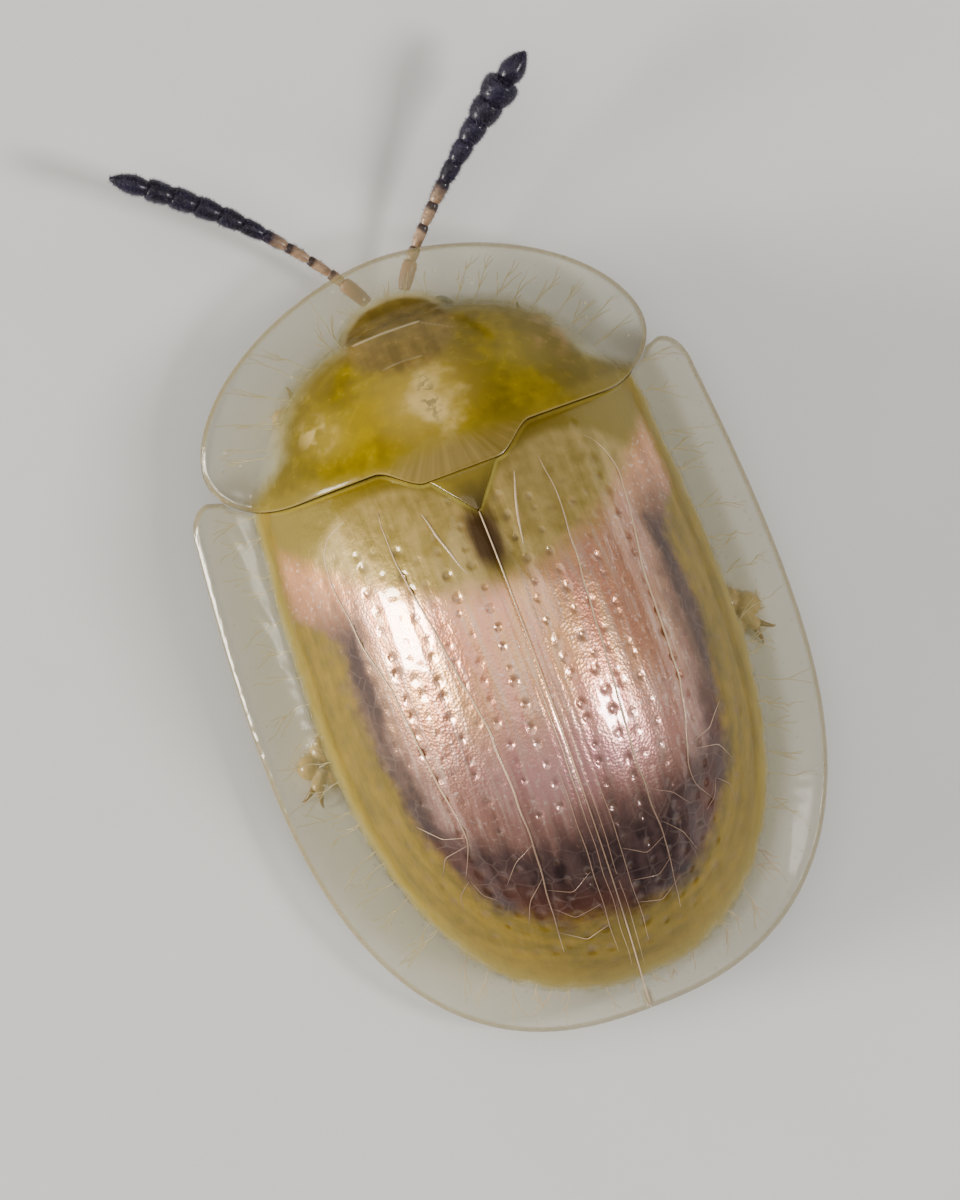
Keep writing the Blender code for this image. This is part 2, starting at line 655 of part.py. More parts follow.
def make_leg(pair):
    hip, knee, ankle, tip = [from_front(joint) for joint in LEG_JOINTS[pair]]
    leg = limb(f"leg_{pair}_left", hip, knee, FEMUR_RADII, 3)
    CUTTERS.objects.unlink(leg)
    PARTS.objects.link(leg)
    foot = (tip - ankle).xy
    heading = math.atan2(foot.y, foot.x)
    pieces = [ball("coxa", hip, COXA_RADII, LEG, 12, 8), limb("tibia", knee, ankle, TIBIA_RADII, 3)]
    for share, width in zip(PAD_SHARES, PAD_WIDTHS):
        place = ankle.lerp(tip, share)
        place.z = PAD_CENTRE_Z * MM
        pieces.append(foot_pad(place, heading, foot.length * PAD_LENGTH_SHARE, width))
    place.z = tip.z
    pieces.append(limb("claw_joint", place, tip, CLAW_JOINT_RADII, 2))
    with_boolean(leg, "UNION", pieces)
    cut_sole(leg.data)
    add_object(f"leg_{pair}_right", mirrored(leg.data, f"leg_{pair}_right"), LEG)


def bezier(points, share):
    a, b, c, d = (np.array(point) for point in points)
    rest = 1.0 - share
    return rest**3 * a + 3 * rest**2 * share * b + 3 * rest * share**2 * c + share**3 * d


def make_feeler(name, side, path, widths):
    """Eleven joints, each narrow at its foot and swelling towards its end."""
    curve = [bezier(path, step / 80) for step in range(81)]
    lengths = np.array(FEELER_LENGTHS) / sum(FEELER_LENGTHS)
    starts = np.cumsum(lengths) - lengths
    shares, radii = [], []
    for index, width in enumerate(widths):
        shape = LAST_JOINT_SHAPE if index == len(widths) - 1 else JOINT_SHAPE
        for inside, swell in shape:
            shares.append(starts[index] + lengths[index] * inside)
            radii.append(FEELER_RADIUS * width * swell)
    points = [from_front((side * x, y, z)) for x, y, z in resample(curve, np.array(shares))]
    tube(name, points, radii, FEELER, 3, PARTS)


make_elytra()
make_pronotum()
plate("scutellum", 6, 5, scutellum_place, scutellum_thickness, SCUTELLUM)
make_trunk()
make_head()
for pair in LEG_JOINTS:
    make_leg(pair)
for name, (side, *path) in FEELER_PATHS.items():
    make_feeler(name, side, path, FEELER_WIDTHS[name])
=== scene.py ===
import math

import bmesh
import bpy
import numpy as np
from mathutils import Matrix, Vector, kdtree


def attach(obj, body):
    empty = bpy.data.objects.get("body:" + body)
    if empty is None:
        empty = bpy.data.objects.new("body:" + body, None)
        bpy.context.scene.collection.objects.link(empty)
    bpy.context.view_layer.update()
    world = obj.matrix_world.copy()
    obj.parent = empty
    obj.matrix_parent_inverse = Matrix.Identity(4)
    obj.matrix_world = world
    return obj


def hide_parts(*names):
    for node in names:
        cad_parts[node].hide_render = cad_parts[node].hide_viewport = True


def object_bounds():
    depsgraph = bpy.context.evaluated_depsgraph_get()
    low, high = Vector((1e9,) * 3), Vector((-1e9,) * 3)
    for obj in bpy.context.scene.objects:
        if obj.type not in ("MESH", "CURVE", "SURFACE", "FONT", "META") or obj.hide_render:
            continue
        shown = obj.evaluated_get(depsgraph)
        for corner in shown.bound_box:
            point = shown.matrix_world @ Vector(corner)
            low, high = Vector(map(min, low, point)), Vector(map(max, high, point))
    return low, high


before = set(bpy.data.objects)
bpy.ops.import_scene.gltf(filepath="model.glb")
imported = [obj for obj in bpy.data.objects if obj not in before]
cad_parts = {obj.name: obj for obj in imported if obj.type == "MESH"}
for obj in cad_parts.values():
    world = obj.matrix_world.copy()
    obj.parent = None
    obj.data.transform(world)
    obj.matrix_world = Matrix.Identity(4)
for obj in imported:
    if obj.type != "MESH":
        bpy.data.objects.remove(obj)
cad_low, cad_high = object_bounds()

# Camera.
# A long macro lens straight above the back, three degrees to the animal's left.
# The head points to the upper left of an upright frame about 8.4 by 10.5 mm.
MM = 0.001
VIEW_TARGET = Vector((0.163, 0.364, 0.45)) * MM
VIEW_HEIGHT = 10.517 * MM
VIEW_DISTANCE = 80 * MM
VIEW_LEAN = math.radians(3.0)
VIEW_ROLL = math.radians(20.44)
SENSOR_WIDTH = 36.0
CLIP_START = 5 * MM
CLIP_END = 2.0

camera = bpy.data.objects.new("camera", bpy.data.cameras.new("camera"))
bpy.context.scene.collection.objects.link(camera)
bpy.context.scene.camera = camera
back = Vector((math.sin(VIEW_LEAN), 0.0, math.cos(VIEW_LEAN)))
right = Vector((-math.cos(VIEW_ROLL), math.sin(VIEW_ROLL), 0.0))
right = (right - back * right.dot(back)).normalized()
camera.matrix_world = Matrix.Translation(VIEW_TARGET + back * VIEW_DISTANCE) @ Matrix(
    (right, back.cross(right), back)
).transposed().to_4x4()
camera.data.sensor_width = SENSOR_WIDTH
camera.data.lens = SENSOR_WIDTH * VIEW_DISTANCE / VIEW_HEIGHT
camera.data.clip_start = CLIP_START
camera.data.clip_end = CLIP_END

# Light and floor.
# A soft studio: a low lamp at the left of the picture, a smaller one at the right, a wide one
# overhead, a pale surround, and a plain matt floor.  Lamps are placed in millimetres.
SURROUND_COLOUR = (1.0, 0.99, 0.98, 1.0)
SURROUND_STRENGTH = 0.24
FLOOR_HALF = 0.5
FLOOR_SHADES = ((0.79, 0.79, 0.77), (0.84, 0.84, 0.82))


def add_lamp(name, place, size, power, colour):
    light = bpy.data.lights.new(name, "AREA")
    light.shape = "RECTANGLE"
    light.size, light.size_y = size[0] * MM, size[1] * MM
    light.energy = power
    light.color = colour
    lamp = bpy.data.objects.new(name, light)
    lamp.location = Vector(place) * MM
    lamp.rotation_mode = "QUATERNION"
    lamp.rotation_quaternion = (VIEW_TARGET - lamp.location).to_track_quat("-Z", "Y")
    bpy.context.scene.collection.objects.link(lamp)


add_lamp("key", (90, -16, 24), (32, 30), 0.080, (1.0, 0.96, 0.90))
add_lamp("fill", (-58, 38, 64), (20, 22), 0.036, (1.0, 0.98, 0.98))
add_lamp("top", (20, -30, 104), (120, 120), 0.031, (1.0, 0.985, 0.96))

world = bpy.data.worlds.new("surround")
world.use_nodes = True
surround = world.node_tree.nodes["Background"]
surround.inputs["Color"].default_value = SURROUND_COLOUR
surround.inputs["Strength"].default_value = SURROUND_STRENGTH
bpy.context.scene.world = world
bpy.context.scene.view_settings.look = "AgX - Medium High Contrast"


class Value:
    """One output in a material's node tree, so that shader maths is written as arithmetic."""

    def __init__(self, tree, source=None):
        self.tree, self.source = tree, source

    def node(self, kind, inputs=(), output=0, **settings):
        node = self.tree.nodes.new("ShaderNode" + kind)
        for key, setting in settings.items():
            setattr(node, key, setting)
        for key, value in dict(inputs).items():
            self.plug(node.inputs[key], value)
        return Value(self.tree, node.outputs[output])

    def plug(self, target, value):
        if isinstance(value, Value):
            self.tree.links.new(value.source, target)
        elif isinstance(value, tuple) and target.type == "RGBA":
            target.default_value = (*value, 1.0)
        else:
            target.default_value = value

    def math(self, operation, *others):
        return self.node("Math", enumerate((self, *others)), operation=operation)

    def __add__(self, other):
        return self.math("ADD", other)

    __radd__ = __add__

    def __mul__(self, other):
        return self.math("MULTIPLY", other)

    __rmul__ = __mul__

    def __sub__(self, other):
        return self.math("SUBTRACT", other)

    def __rsub__(self, other):
        return self.math("MULTIPLY_ADD", -1.0, other)

    def __truediv__(self, other):
        return self.math("DIVIDE", other)

    def __rtruediv__(self, other):
        return self.math("POWER", -1.0) * other

    def __pow__(self, other):
        return self.math("POWER", other)

    def step(self, low, high):
        """0 where it is at low, 1 at high, smooth between; low may be the larger one."""
        limits = {"Value": self, "From Min": low, "From Max": high}
        return self.node("MapRange", limits, interpolation_type="SMOOTHSTEP")

    def mix(self, zero, one):
        """The first colour where it is 0, the second where it is 1."""
        return self.node("Mix", {0: self, 6: zero, 7: one}, output=2, data_type="RGBA")

    def field(self, name):
        """A number that the mesh stores for each of its points."""
        return self.node("Attribute", output="Fac", attribute_name=name)

    def place(self, scale=(1.0, 1.0, 1.0)):
        """Where it is, in millimetres."""
        here = self.node("TexCoord", output="Object")
        sizes = tuple(1000.0 * size for size in scale)
        return here.node("VectorMath", {0: here, 1: sizes}, operation="MULTIPLY")

    def axes(self):
        """x, y and z in millimetres, with y measured from the front edge of the shield."""
        split = self.tree.nodes.new("ShaderNodeSeparateXYZ")
        self.plug(split.inputs[0], self.place())
        x, y, z = (Value(self.tree, output) for output in split.outputs)
        return x, y - FRONT_Y, z

    def noise(self, scale, detail=3.0, place=None):
        place = self.place() if place is None else place
        return self.node("TexNoise", {"Vector": place, "Scale": scale, "Detail": detail})

    def cells(self, scale, place=None, uneven=1.0, feature="F1"):
        """How far it is from the middle of the nearest of many cells, or from their walls."""
        place = self.place() if place is None else place
        inputs = {"Vector": place, "Scale": scale, "Randomness": uneven}
        return self.node("TexVoronoi", inputs, feature=feature)

    def bump(self, height, depth):
        """A normal that shows this height, whose full depth is in millimetres."""
        return self.node("Bump", {"Height": height, "Distance": depth * MM, "Strength": 1.0})


def make_material(name, look):
    """A material whose look function returns its Principled inputs by name."""
    material = bpy.data.materials.new(name)
    material.use_nodes = True
    shader = material.node_tree.nodes["Principled BSDF"]
    start = Value(material.node_tree)
    for key, value in look(start).items():
        start.plug(shader.inputs[key], value)
    return material


def floor_look(start):
    grain = start.noise(0.6, 2.0)
    return {"Base Color": grain.mix(*FLOOR_SHADES), "Roughness": 0.8}


floor_mesh = bpy.data.meshes.new("floor")
corners = [(x * FLOOR_HALF, y * FLOOR_HALF, 0.0) for x, y in ((-1, -1), (1, -1), (1, 1), (-1, 1))]
floor_mesh.from_pydata(corners, [], [(0, 1, 2, 3)])
floor = bpy.data.objects.new("floor", floor_mesh)
bpy.context.scene.collection.objects.link(floor)
floor_mesh.materials.append(make_material("floor", floor_look))

# Wing cases.
# Two thin horny plates, hinged at their base, each with a raised disc of pearl, violet-brown and
# yellow and a flat clear margin.  Lengths are millimetres, y from the shield's front edge back.
BODY_LENGTH = 7.0
FRONT_Y = cad_low.y / MM + 1.47
LOBE_Y = 2.02
CASE_HALF_WIDTH = 2.45
CASE_SHOULDER_Y = 1.50
CASE_SHOULDER_X = 1.98
CASE_TAPER = 0.16
CASE_ROUND = (0.22, 0.34)
CASE_WIDEST_Y = 3.70
CASE_POWER = 2.5
DISC_HALF_WIDTH = 1.90
DISC_END_Y = 6.70
DISC_POWER = 2.3
FAN_END_Y = 5.30
FAN_CENTRE_Y = 4.2
CREST_Y = 3.45
CREST_Z = 2.56
CREST_FRONT_DROP = 0.47
CREST_TAIL_DROP = 0.36
DISC_EDGE_Z = 0.66
RIM_Z = 0.42
CALLUS_PLACE = (1.60, 2.20)
CALLUS_SIZE = 0.26
CALLUS_RISE = 0.06
DISC_WALL = 0.34
DISC_EDGE_WALL = 0.18
RIM_WALL = 0.10
SEAM = 0.0025
EDGE_ROUND = 0.055
CASE_ROWS = 214
CASE_COLUMNS = 184
SHIELD_HALF_WIDTH = 2.06
SHIELD_WIDEST_Y = 1.29
SHIELD_HIND_Y = 1.80
SHIELD_CORNER_X = 1.41
SHIELD_LOBE_X = (0.33, 0.72)
SCUTELLUM_HALF_WIDTH = 0.29
SCUTELLUM_TIP_Y = 2.39
PIT_SHARES = (0.12, 0.245, 0.34, 0.43, 0.52, 0.60, 0.69, 0.78, 0.86, 0.94)
PIT_STRENGTHS = (1.0, 1.0, 0.45, 1.0, 0.5, 1.0, 0.7, 0.8, 0.7, 0.6)
PIT_SPACING = 0.185
PIT_RADIUS = 0.044
PIT_DEPTH = 0.015
FURROW_WIDTH = 0.045
FURROW_DEPTH = 0.005
SEAM_DEPTH = 0.006
BEAD_INSET = 0.05
BEAD_WIDTH = 0.022
BEAD_RISE = 0.014
WRINKLE_RISE = 0.004
SLOPE_REACH = 0.01
STEEPEST = 2.2


def smooth_step(value):
    value = np.clip(value, 0.0, 1.0)
    return value * value * (3.0 - 2.0 * value)


def signed_power(value, power):
    return np.sign(value) * np.abs(value) ** power


def smooth_max(a, b, fillet=0.13):
    return (a + b + np.sqrt((a - b) ** 2 + fillet**2)) / 2 - fillet / 8


def bell(away, width):
    """1 on a line, falling off smoothly to nothing at about twice this width."""
    return np.exp(-((away / width) ** 2))


def resample(points, shares):
    points = np.asarray(points)
    steps = np.linalg.norm(np.diff(points, axis=0), axis=1)
    along = np.concatenate([[0.0], np.cumsum(steps)]) / steps.sum()
    return np.stack([np.interp(shares, along, column) for column in points.T], axis=1)


def wander(x, y, seed, size):
    """A smooth irregular number between about -1 and 1, that changes over this size."""
    random = np.random.default_rng(seed)
    total = np.zeros_like(x)
    for _ in range(9):
        turn, phase, rate = random.uniform(0, 2 * math.pi, 2).tolist() + [random.uniform(0.6, 1.6)]
        total += np.sin((x * math.cos(turn) + y * math.sin(turn)) * rate * 2 * math.pi / size + phase)
    return total / 4.5


def side_taper(y):
    ahead = (CASE_WIDEST_Y - y) / (CASE_WIDEST_Y - CASE_SHOULDER_Y)
    return CASE_TAPER * np.clip(ahead, 0.0, 1.5) ** 1.7


def hind_edge_y(x, grow=0.0):
    """The shield's hind edge, or a line that far behind it."""
    x = np.abs(x)
    lobe = 1.0 - smooth_step((x - SHIELD_LOBE_X[0]) / (SHIELD_LOBE_X[1] - SHIELD_LOBE_X[0]))
    corner = (x - SHIELD_CORNER_X) / (SHIELD_HALF_WIDTH + grow - SHIELD_CORNER_X)
    corner = np.clip(corner, 0.0, 1.0)
    straight = SHIELD_HIND_Y + grow + (LOBE_Y - SHIELD_HIND_Y) * lobe
    return straight - (SHIELD_HIND_Y + grow - SHIELD_WIDEST_Y) * (1.0 - np.sqrt(1.0 - corner**2))


def superellipse(x, y, half_width, end_y, power):
    behind = np.clip((y - CASE_WIDEST_Y) / (end_y - CASE_WIDEST_Y), 0.0, None)
    return ((np.abs(x) / half_width) ** power + behind**power) ** (1 / power)


def outline_share(x, y, half_width, end_y, power):
    """0 on the midline, 1 on an outline whose sides taper forward and whose tail is round."""
    side = np.abs(x) / (half_width - side_taper(y))
    return np.where(y < CASE_WIDEST_Y, side, superellipse(x, y, half_width, end_y, power))


def disc_share(x, y):
    """0 on the midline, 1 where the raised disc ends."""
    return outline_share(x, y, DISC_HALF_WIDTH, DISC_END_Y, DISC_POWER)


def margin_share(x, y):
    """0 on the disc, rising to 1 at the rim."""
    rim = outline_share(x, y, CASE_HALF_WIDTH, BODY_LENGTH, CASE_POWER)
    outside = disc_share(x, y) - 1.0
    return np.clip(outside / np.maximum(outside + 1.0 - rim, 1e-9), 0.0, 1.0)


def case_height(x, y):
    ahead = np.clip((CREST_Y - y) / (CREST_Y - LOBE_Y), 0.0, 1.6)
    behind = np.clip((y - CREST_Y) / (BODY_LENGTH - CREST_Y), 0.0, 1.0)
    crest = CREST_Z - CREST_FRONT_DROP * ahead**2 - CREST_TAIL_DROP * behind**1.7
    rounded = signed_power(1.0 - disc_share(x, y) ** DISC_POWER, 0.85)
    dome = DISC_EDGE_Z + (crest - DISC_EDGE_Z) * rounded
    flange = RIM_Z + (DISC_EDGE_Z - RIM_Z) * (1.0 - margin_share(x, y)) ** 1.3
    from_callus = np.hypot(np.abs(x) - CALLUS_PLACE[0], y - CALLUS_PLACE[1])
    return smooth_max(dome, flange) + CALLUS_RISE * bell(from_callus, CALLUS_SIZE)


def horn_wall(inward, out):
    """Thickness of the horn: most in the middle of a disc, least at the rim of its margin."""
    disc = DISC_EDGE_WALL + (DISC_WALL - DISC_EDGE_WALL) * smooth_step(inward)
    return np.where(out > 0.0, DISC_EDGE_WALL - (DISC_EDGE_WALL - RIM_WALL) * out, disc)


def case_wall(x, y):
    return horn_wall((1.0 - disc_share(x, y)) * 4.0, margin_share(x, y))


def steepness(surface, x, y):
    """How much deeper a sloping plate is, measured straight down, than it is thick."""
    slope_x = (surface(x + SLOPE_REACH, y) - surface(x - SLOPE_REACH, y)) / (2 * SLOPE_REACH)
    slope_y = (surface(x, y + SLOPE_REACH) - surface(x, y - SLOPE_REACH)) / (2 * SLOPE_REACH)
    return np.minimum(np.sqrt(1.0 + slope_x**2 + slope_y**2), STEEPEST)


def case_shoulder(turn):
    side_x = CASE_HALF_WIDTH - side_taper(CASE_SHOULDER_Y + CASE_ROUND[1])
    x = side_x - CASE_ROUND[0] * (1.0 - np.sin(turn))
    return np.stack([x, CASE_SHOULDER_Y + CASE_ROUND[1] * (1.0 - np.cos(turn))], 1)


def case_rim(shares):
    turn = np.linspace(0.0, math.pi / 2, 400)
    side_y = np.linspace(CASE_SHOULDER_Y + CASE_ROUND[1], CASE_WIDEST_Y, 100)[1:]
    tail_x = CASE_HALF_WIDTH * np.cos(turn) ** (2 / CASE_POWER)
    tail_y = CASE_WIDEST_Y + (BODY_LENGTH - CASE_WIDEST_Y) * np.sin(turn) ** (2 / CASE_POWER)
    points = [
        case_shoulder(np.linspace(math.pi / 4, math.pi / 2, 60)),
        np.stack([CASE_HALF_WIDTH - side_taper(side_y), side_y], 1),
        np.stack([np.maximum(tail_x, SEAM), tail_y], 1)[1:],
    ]
    return resample(np.concatenate(points), shares)


def case_inner_edge(shares):
    start_y = LOBE_Y + 2 * SEAM
    tip_y = SCUTELLUM_TIP_Y + 2 * SEAM
    y = start_y + (FAN_END_Y - start_y) * shares
    beside = np.clip((tip_y - y) / (tip_y - start_y), 0.0, 1.0)
    return np.stack([SEAM + (SCUTELLUM_HALF_WIDTH + SEAM) * beside, y], 1)


def case_base(shares):
    x = np.linspace(SCUTELLUM_HALF_WIDTH + 2 * SEAM, CASE_SHOULDER_X, 400)
    behind_shield = np.stack([x, hind_edge_y(x, 2 * SEAM)], 1)
    shoulder = case_shoulder(np.linspace(0.0, math.pi / 4, 60))
    return resample(np.concatenate([behind_shield, shoulder]), shares)


def edge_lines(count, length):
    """Shares from 0 to 1, closer together at both ends, where the edges are rounded."""
    near = EDGE_ROUND / length * np.array([0.0, 0.02, 0.08, 0.2, 0.38, 0.62, 1.0])
    middle = np.linspace(near[-1], 1.0 - near[-1], count - 2 * len(near) + 2)
    return np.concatenate([near[:-1], middle, 1.0 - near[:-1][::-1]])


def border_of(grid):
    """The outermost points of a grid, once round."""
    return np.concatenate([grid[0, :-1], grid[:-1, -1], grid[-1, :0:-1], grid[:0:-1, 0]])


def distance_to(border_x, border_y, x, y):
    tree = kdtree.KDTree(len(border_x))
    for index, point in enumerate(zip(border_x, border_y)):
        tree.insert((*point, 0.0), index)
    tree.balance()
    return np.array([tree.find((*point, 0.0))[2] for point in zip(x.ravel(), y.ravel())]).reshape(x.shape)


def finished_mesh(name, points, faces, fields):
    """A closed mesh from points in millimetres behind the shield's front edge, with its fields."""
    mesh = bpy.data.meshes.new(name)
    placed = (np.asarray(points) + (0.0, FRONT_Y, 0.0)) * MM
    mesh.from_pydata(placed.tolist(), [], [tuple(face) for face in faces])
    for key, value in fields.items():
        mesh.attributes.new(key, "FLOAT", "POINT").data.foreach_set("value", value.astype(np.float32))
    work = bmesh.new()
    work.from_mesh(mesh)
    bmesh.ops.remove_doubles(work, verts=work.verts, dist=1e-9)
    bmesh.ops.recalc_face_normals(work, faces=work.faces)
    if work.calc_volume(signed=True) < 0:
        bmesh.ops.reverse_faces(work, faces=work.faces)
    work.to_mesh(mesh)
    work.free()
    mesh.shade_smooth()
    return mesh


def plate_mesh(name, x, y, surface, wall, fields):
    """A closed curved plate over a grid of points whose outermost ones lie on its outline."""
    edge = distance_to(border_of(x), border_of(y), x, y)
    fullness = np.sqrt(1.0 - (1.0 - np.minimum(edge / EDGE_ROUND, 1.0)) ** 2)
    height = surface(x, y)
    depth = wall(x, y) * steepness(surface, x, y)
    values = fields(x, y, edge)
    lip = depth / 2 * (1.0 - fullness) * values.pop("round")
    outer = height + values.pop("relief") * fullness - lip
    inner = height - depth + lip
    top = np.arange(x.size).reshape(x.shape)
    faces = []
    for grid, order in ((top, 1), (top + x.size, -1)):
        corners = [grid[:-1, :-1], grid[:-1, 1:], grid[1:, 1:], grid[1:, :-1]][::order]
        faces += np.stack(corners, 2).reshape(-1, 4).tolist()
    ring = border_of(top)
    following = np.roll(ring, -1)
    faces += np.stack([following, ring, ring + x.size, following + x.size], 1).tolist()
    points = np.concatenate([np.stack([x, y, z], 2).reshape(-1, 3) for z in (outer, inner)])
    doubled = {key: np.tile(value.ravel(), 2) for key, value in {**values, "edge": edge}.items()}
    return finished_mesh(name, points, faces, doubled)


def add_piece(name, mesh, material, slot, *nodes):
    """An object of the model that rides on its one body and stands for these solids."""
    mesh.materials.clear()
    mesh.materials.append(material)
    piece = bpy.data.objects.new(name, mesh)
    bpy.context.scene.collection.objects.link(piece)
    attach(piece, "root")
    if nodes:
        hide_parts(*nodes)
    return piece


def mirrored(mesh, name):
    copy = mesh.copy()
    copy.name = name
    copy.transform(Matrix.Scale(-1.0, 4, (1.0, 0.0, 0.0)))
    copy.flip_normals()
    return copy


def pits(x, y, seed):
    """How deep each point lies in a pit, and how near it is to a row of them; 0 is not at all."""
    behind = np.clip((y - CASE_WIDEST_Y) / (DISC_END_Y - CASE_WIDEST_Y), 0.0, 1.0)
    width = (DISC_HALF_WIDTH - side_taper(y)) * (1.0 - 0.30 * behind**2)
    share = np.abs(x) / width + 0.008 * wander(x, y, seed, 2.2)
    random = np.random.default_rng(seed)
    pit, furrow = np.zeros_like(x), np.zeros_like(x)
    for row, strength in zip(PIT_SHARES, PIT_STRENGTHS):
        along = y / PIT_SPACING + random.uniform()
        number = np.clip(np.floor(along).astype(int), 0, 79)
        jitter = random.uniform(-0.5, 0.5, (4, 80))[:, number]
        from_row = (share - row) * width
        away_x = from_row - 0.05 * jitter[0]
        away_y = (along - number - 0.5 - 0.55 * jitter[1]) * PIT_SPACING
        radius = PIT_RADIUS * (1.0 + 0.6 * jitter[2])
        bowl = smooth_step(1.6 - 1.6 * np.hypot(away_x, away_y) / radius)
        pit = np.maximum(pit, bowl * strength * (1.0 + 0.8 * jitter[3]))
        furrow = np.maximum(furrow, strength * bell(from_row, FURROW_WIDTH))
    return pit, furrow


def case_fields(seed):
    """Numbers for the points of a wing case: its relief, and where its colours lie."""

    def fields(x, y, edge):
        disc, out = disc_share(x, y), margin_share(x, y)
        pit, furrow = pits(x, y, seed)
        on_disc = smooth_step((0.97 - disc) / 0.10)
        behind_base = smooth_step((y - 2.15) / 0.5)
        pit = pit * on_disc * (0.25 + 0.75 * behind_base)
        arc = np.arctan2(x, y - FAN_CENTRE_Y)
        aside = np.abs(x)
        uneven = wander(x, y, seed + 2, 0.55) * 0.003 + wander(x, y, seed + 3, 0.16) * 0.0011
        seam = bell(aside - 0.075, 0.022) + 0.7 * bell(aside - 0.15, 0.02)
        seam = seam * smooth_step((y - 2.9) / 0.5)
        bead = bell(edge - BEAD_INSET, BEAD_WIDTH) * (out > 0.4)
        bead = bead * (1.0 + 0.5 * wander(x, y, seed + 5, 0.10))
        wrinkle = wander(arc * 2.6, out * 0.6, seed + 4, 0.22) * smooth_step(out * 4) * (1 - out)
        relief = (uneven - FURROW_DEPTH * furrow * behind_base - SEAM_DEPTH * seam) * on_disc
        relief = relief - PIT_DEPTH * pit + BEAD_RISE * bead + WRINKLE_RISE * wrinkle
        rounded = 0.10 + 0.85 * smooth_step(out * 3)
        return {"relief": relief, "round": rounded, "disc": disc, "out": out, "pit": pit, "arc": arc}

    return fields


CASE_CLEAR = (0.52, 0.46, 0.22)
CASE_RIM = (0.42, 0.32, 0.13)
CASE_YELLOW = (0.190, 0.132, 0.008)
CASE_YELLOW_PALE = (0.32, 0.212, 0.022)
CASE_VIOLET = (0.036, 0.016, 0.016)
CASE_VIOLET_PALE = (0.130, 0.075, 0.068)
CASE_RUST = (0.13, 0.042, 0.022)
CASE_PEARL = (1.0, 0.57, 0.28)
CASE_PEARL_PINK = (1.0, 0.46, 0.29)
CASE_PEARL_LILAC = (0.92, 0.47, 0.60)
CASE_PEARL_DEEP = (0.40, 0.205, 0.115)
CASE_BASE = (0.285, 0.208, 0.026)
CASE_BASE_PALE = (0.54, 0.395, 0.150)
CASE_SMUDGE = (0.055, 0.020, 0.005)
CASE_THREAD = (0.86, 0.62, 0.50)
CASE_GLINT = (1.0, 0.82, 0.72)
CASE_REAR = (0.20, 0.120, 0.080)
CASE_REAR_DARK = (0.075, 0.040, 0.032)
CASE_NET = (0.34, 0.25, 0.21)
CASE_RING_EDGE = (0.46, 0.36, 0.09)
CASE_LOBE = (0.33, 0.245, 0.060)
CASE_BASE_EDGE_HIGHLIGHT = (0.60, 0.50, 0.14)
CASE_FLUSH = (0.62, 0.25, 0.090)
CASE_FLUSH_PALE = (1.0, 0.46, 0.20)
CASE_FLUSH_GLINT = (1.0, 0.76, 0.58)
CASE_PIT_SHADE = (0.22, 0.13, 0.085)
CASE_DOT = (0.74, 0.70, 0.48)


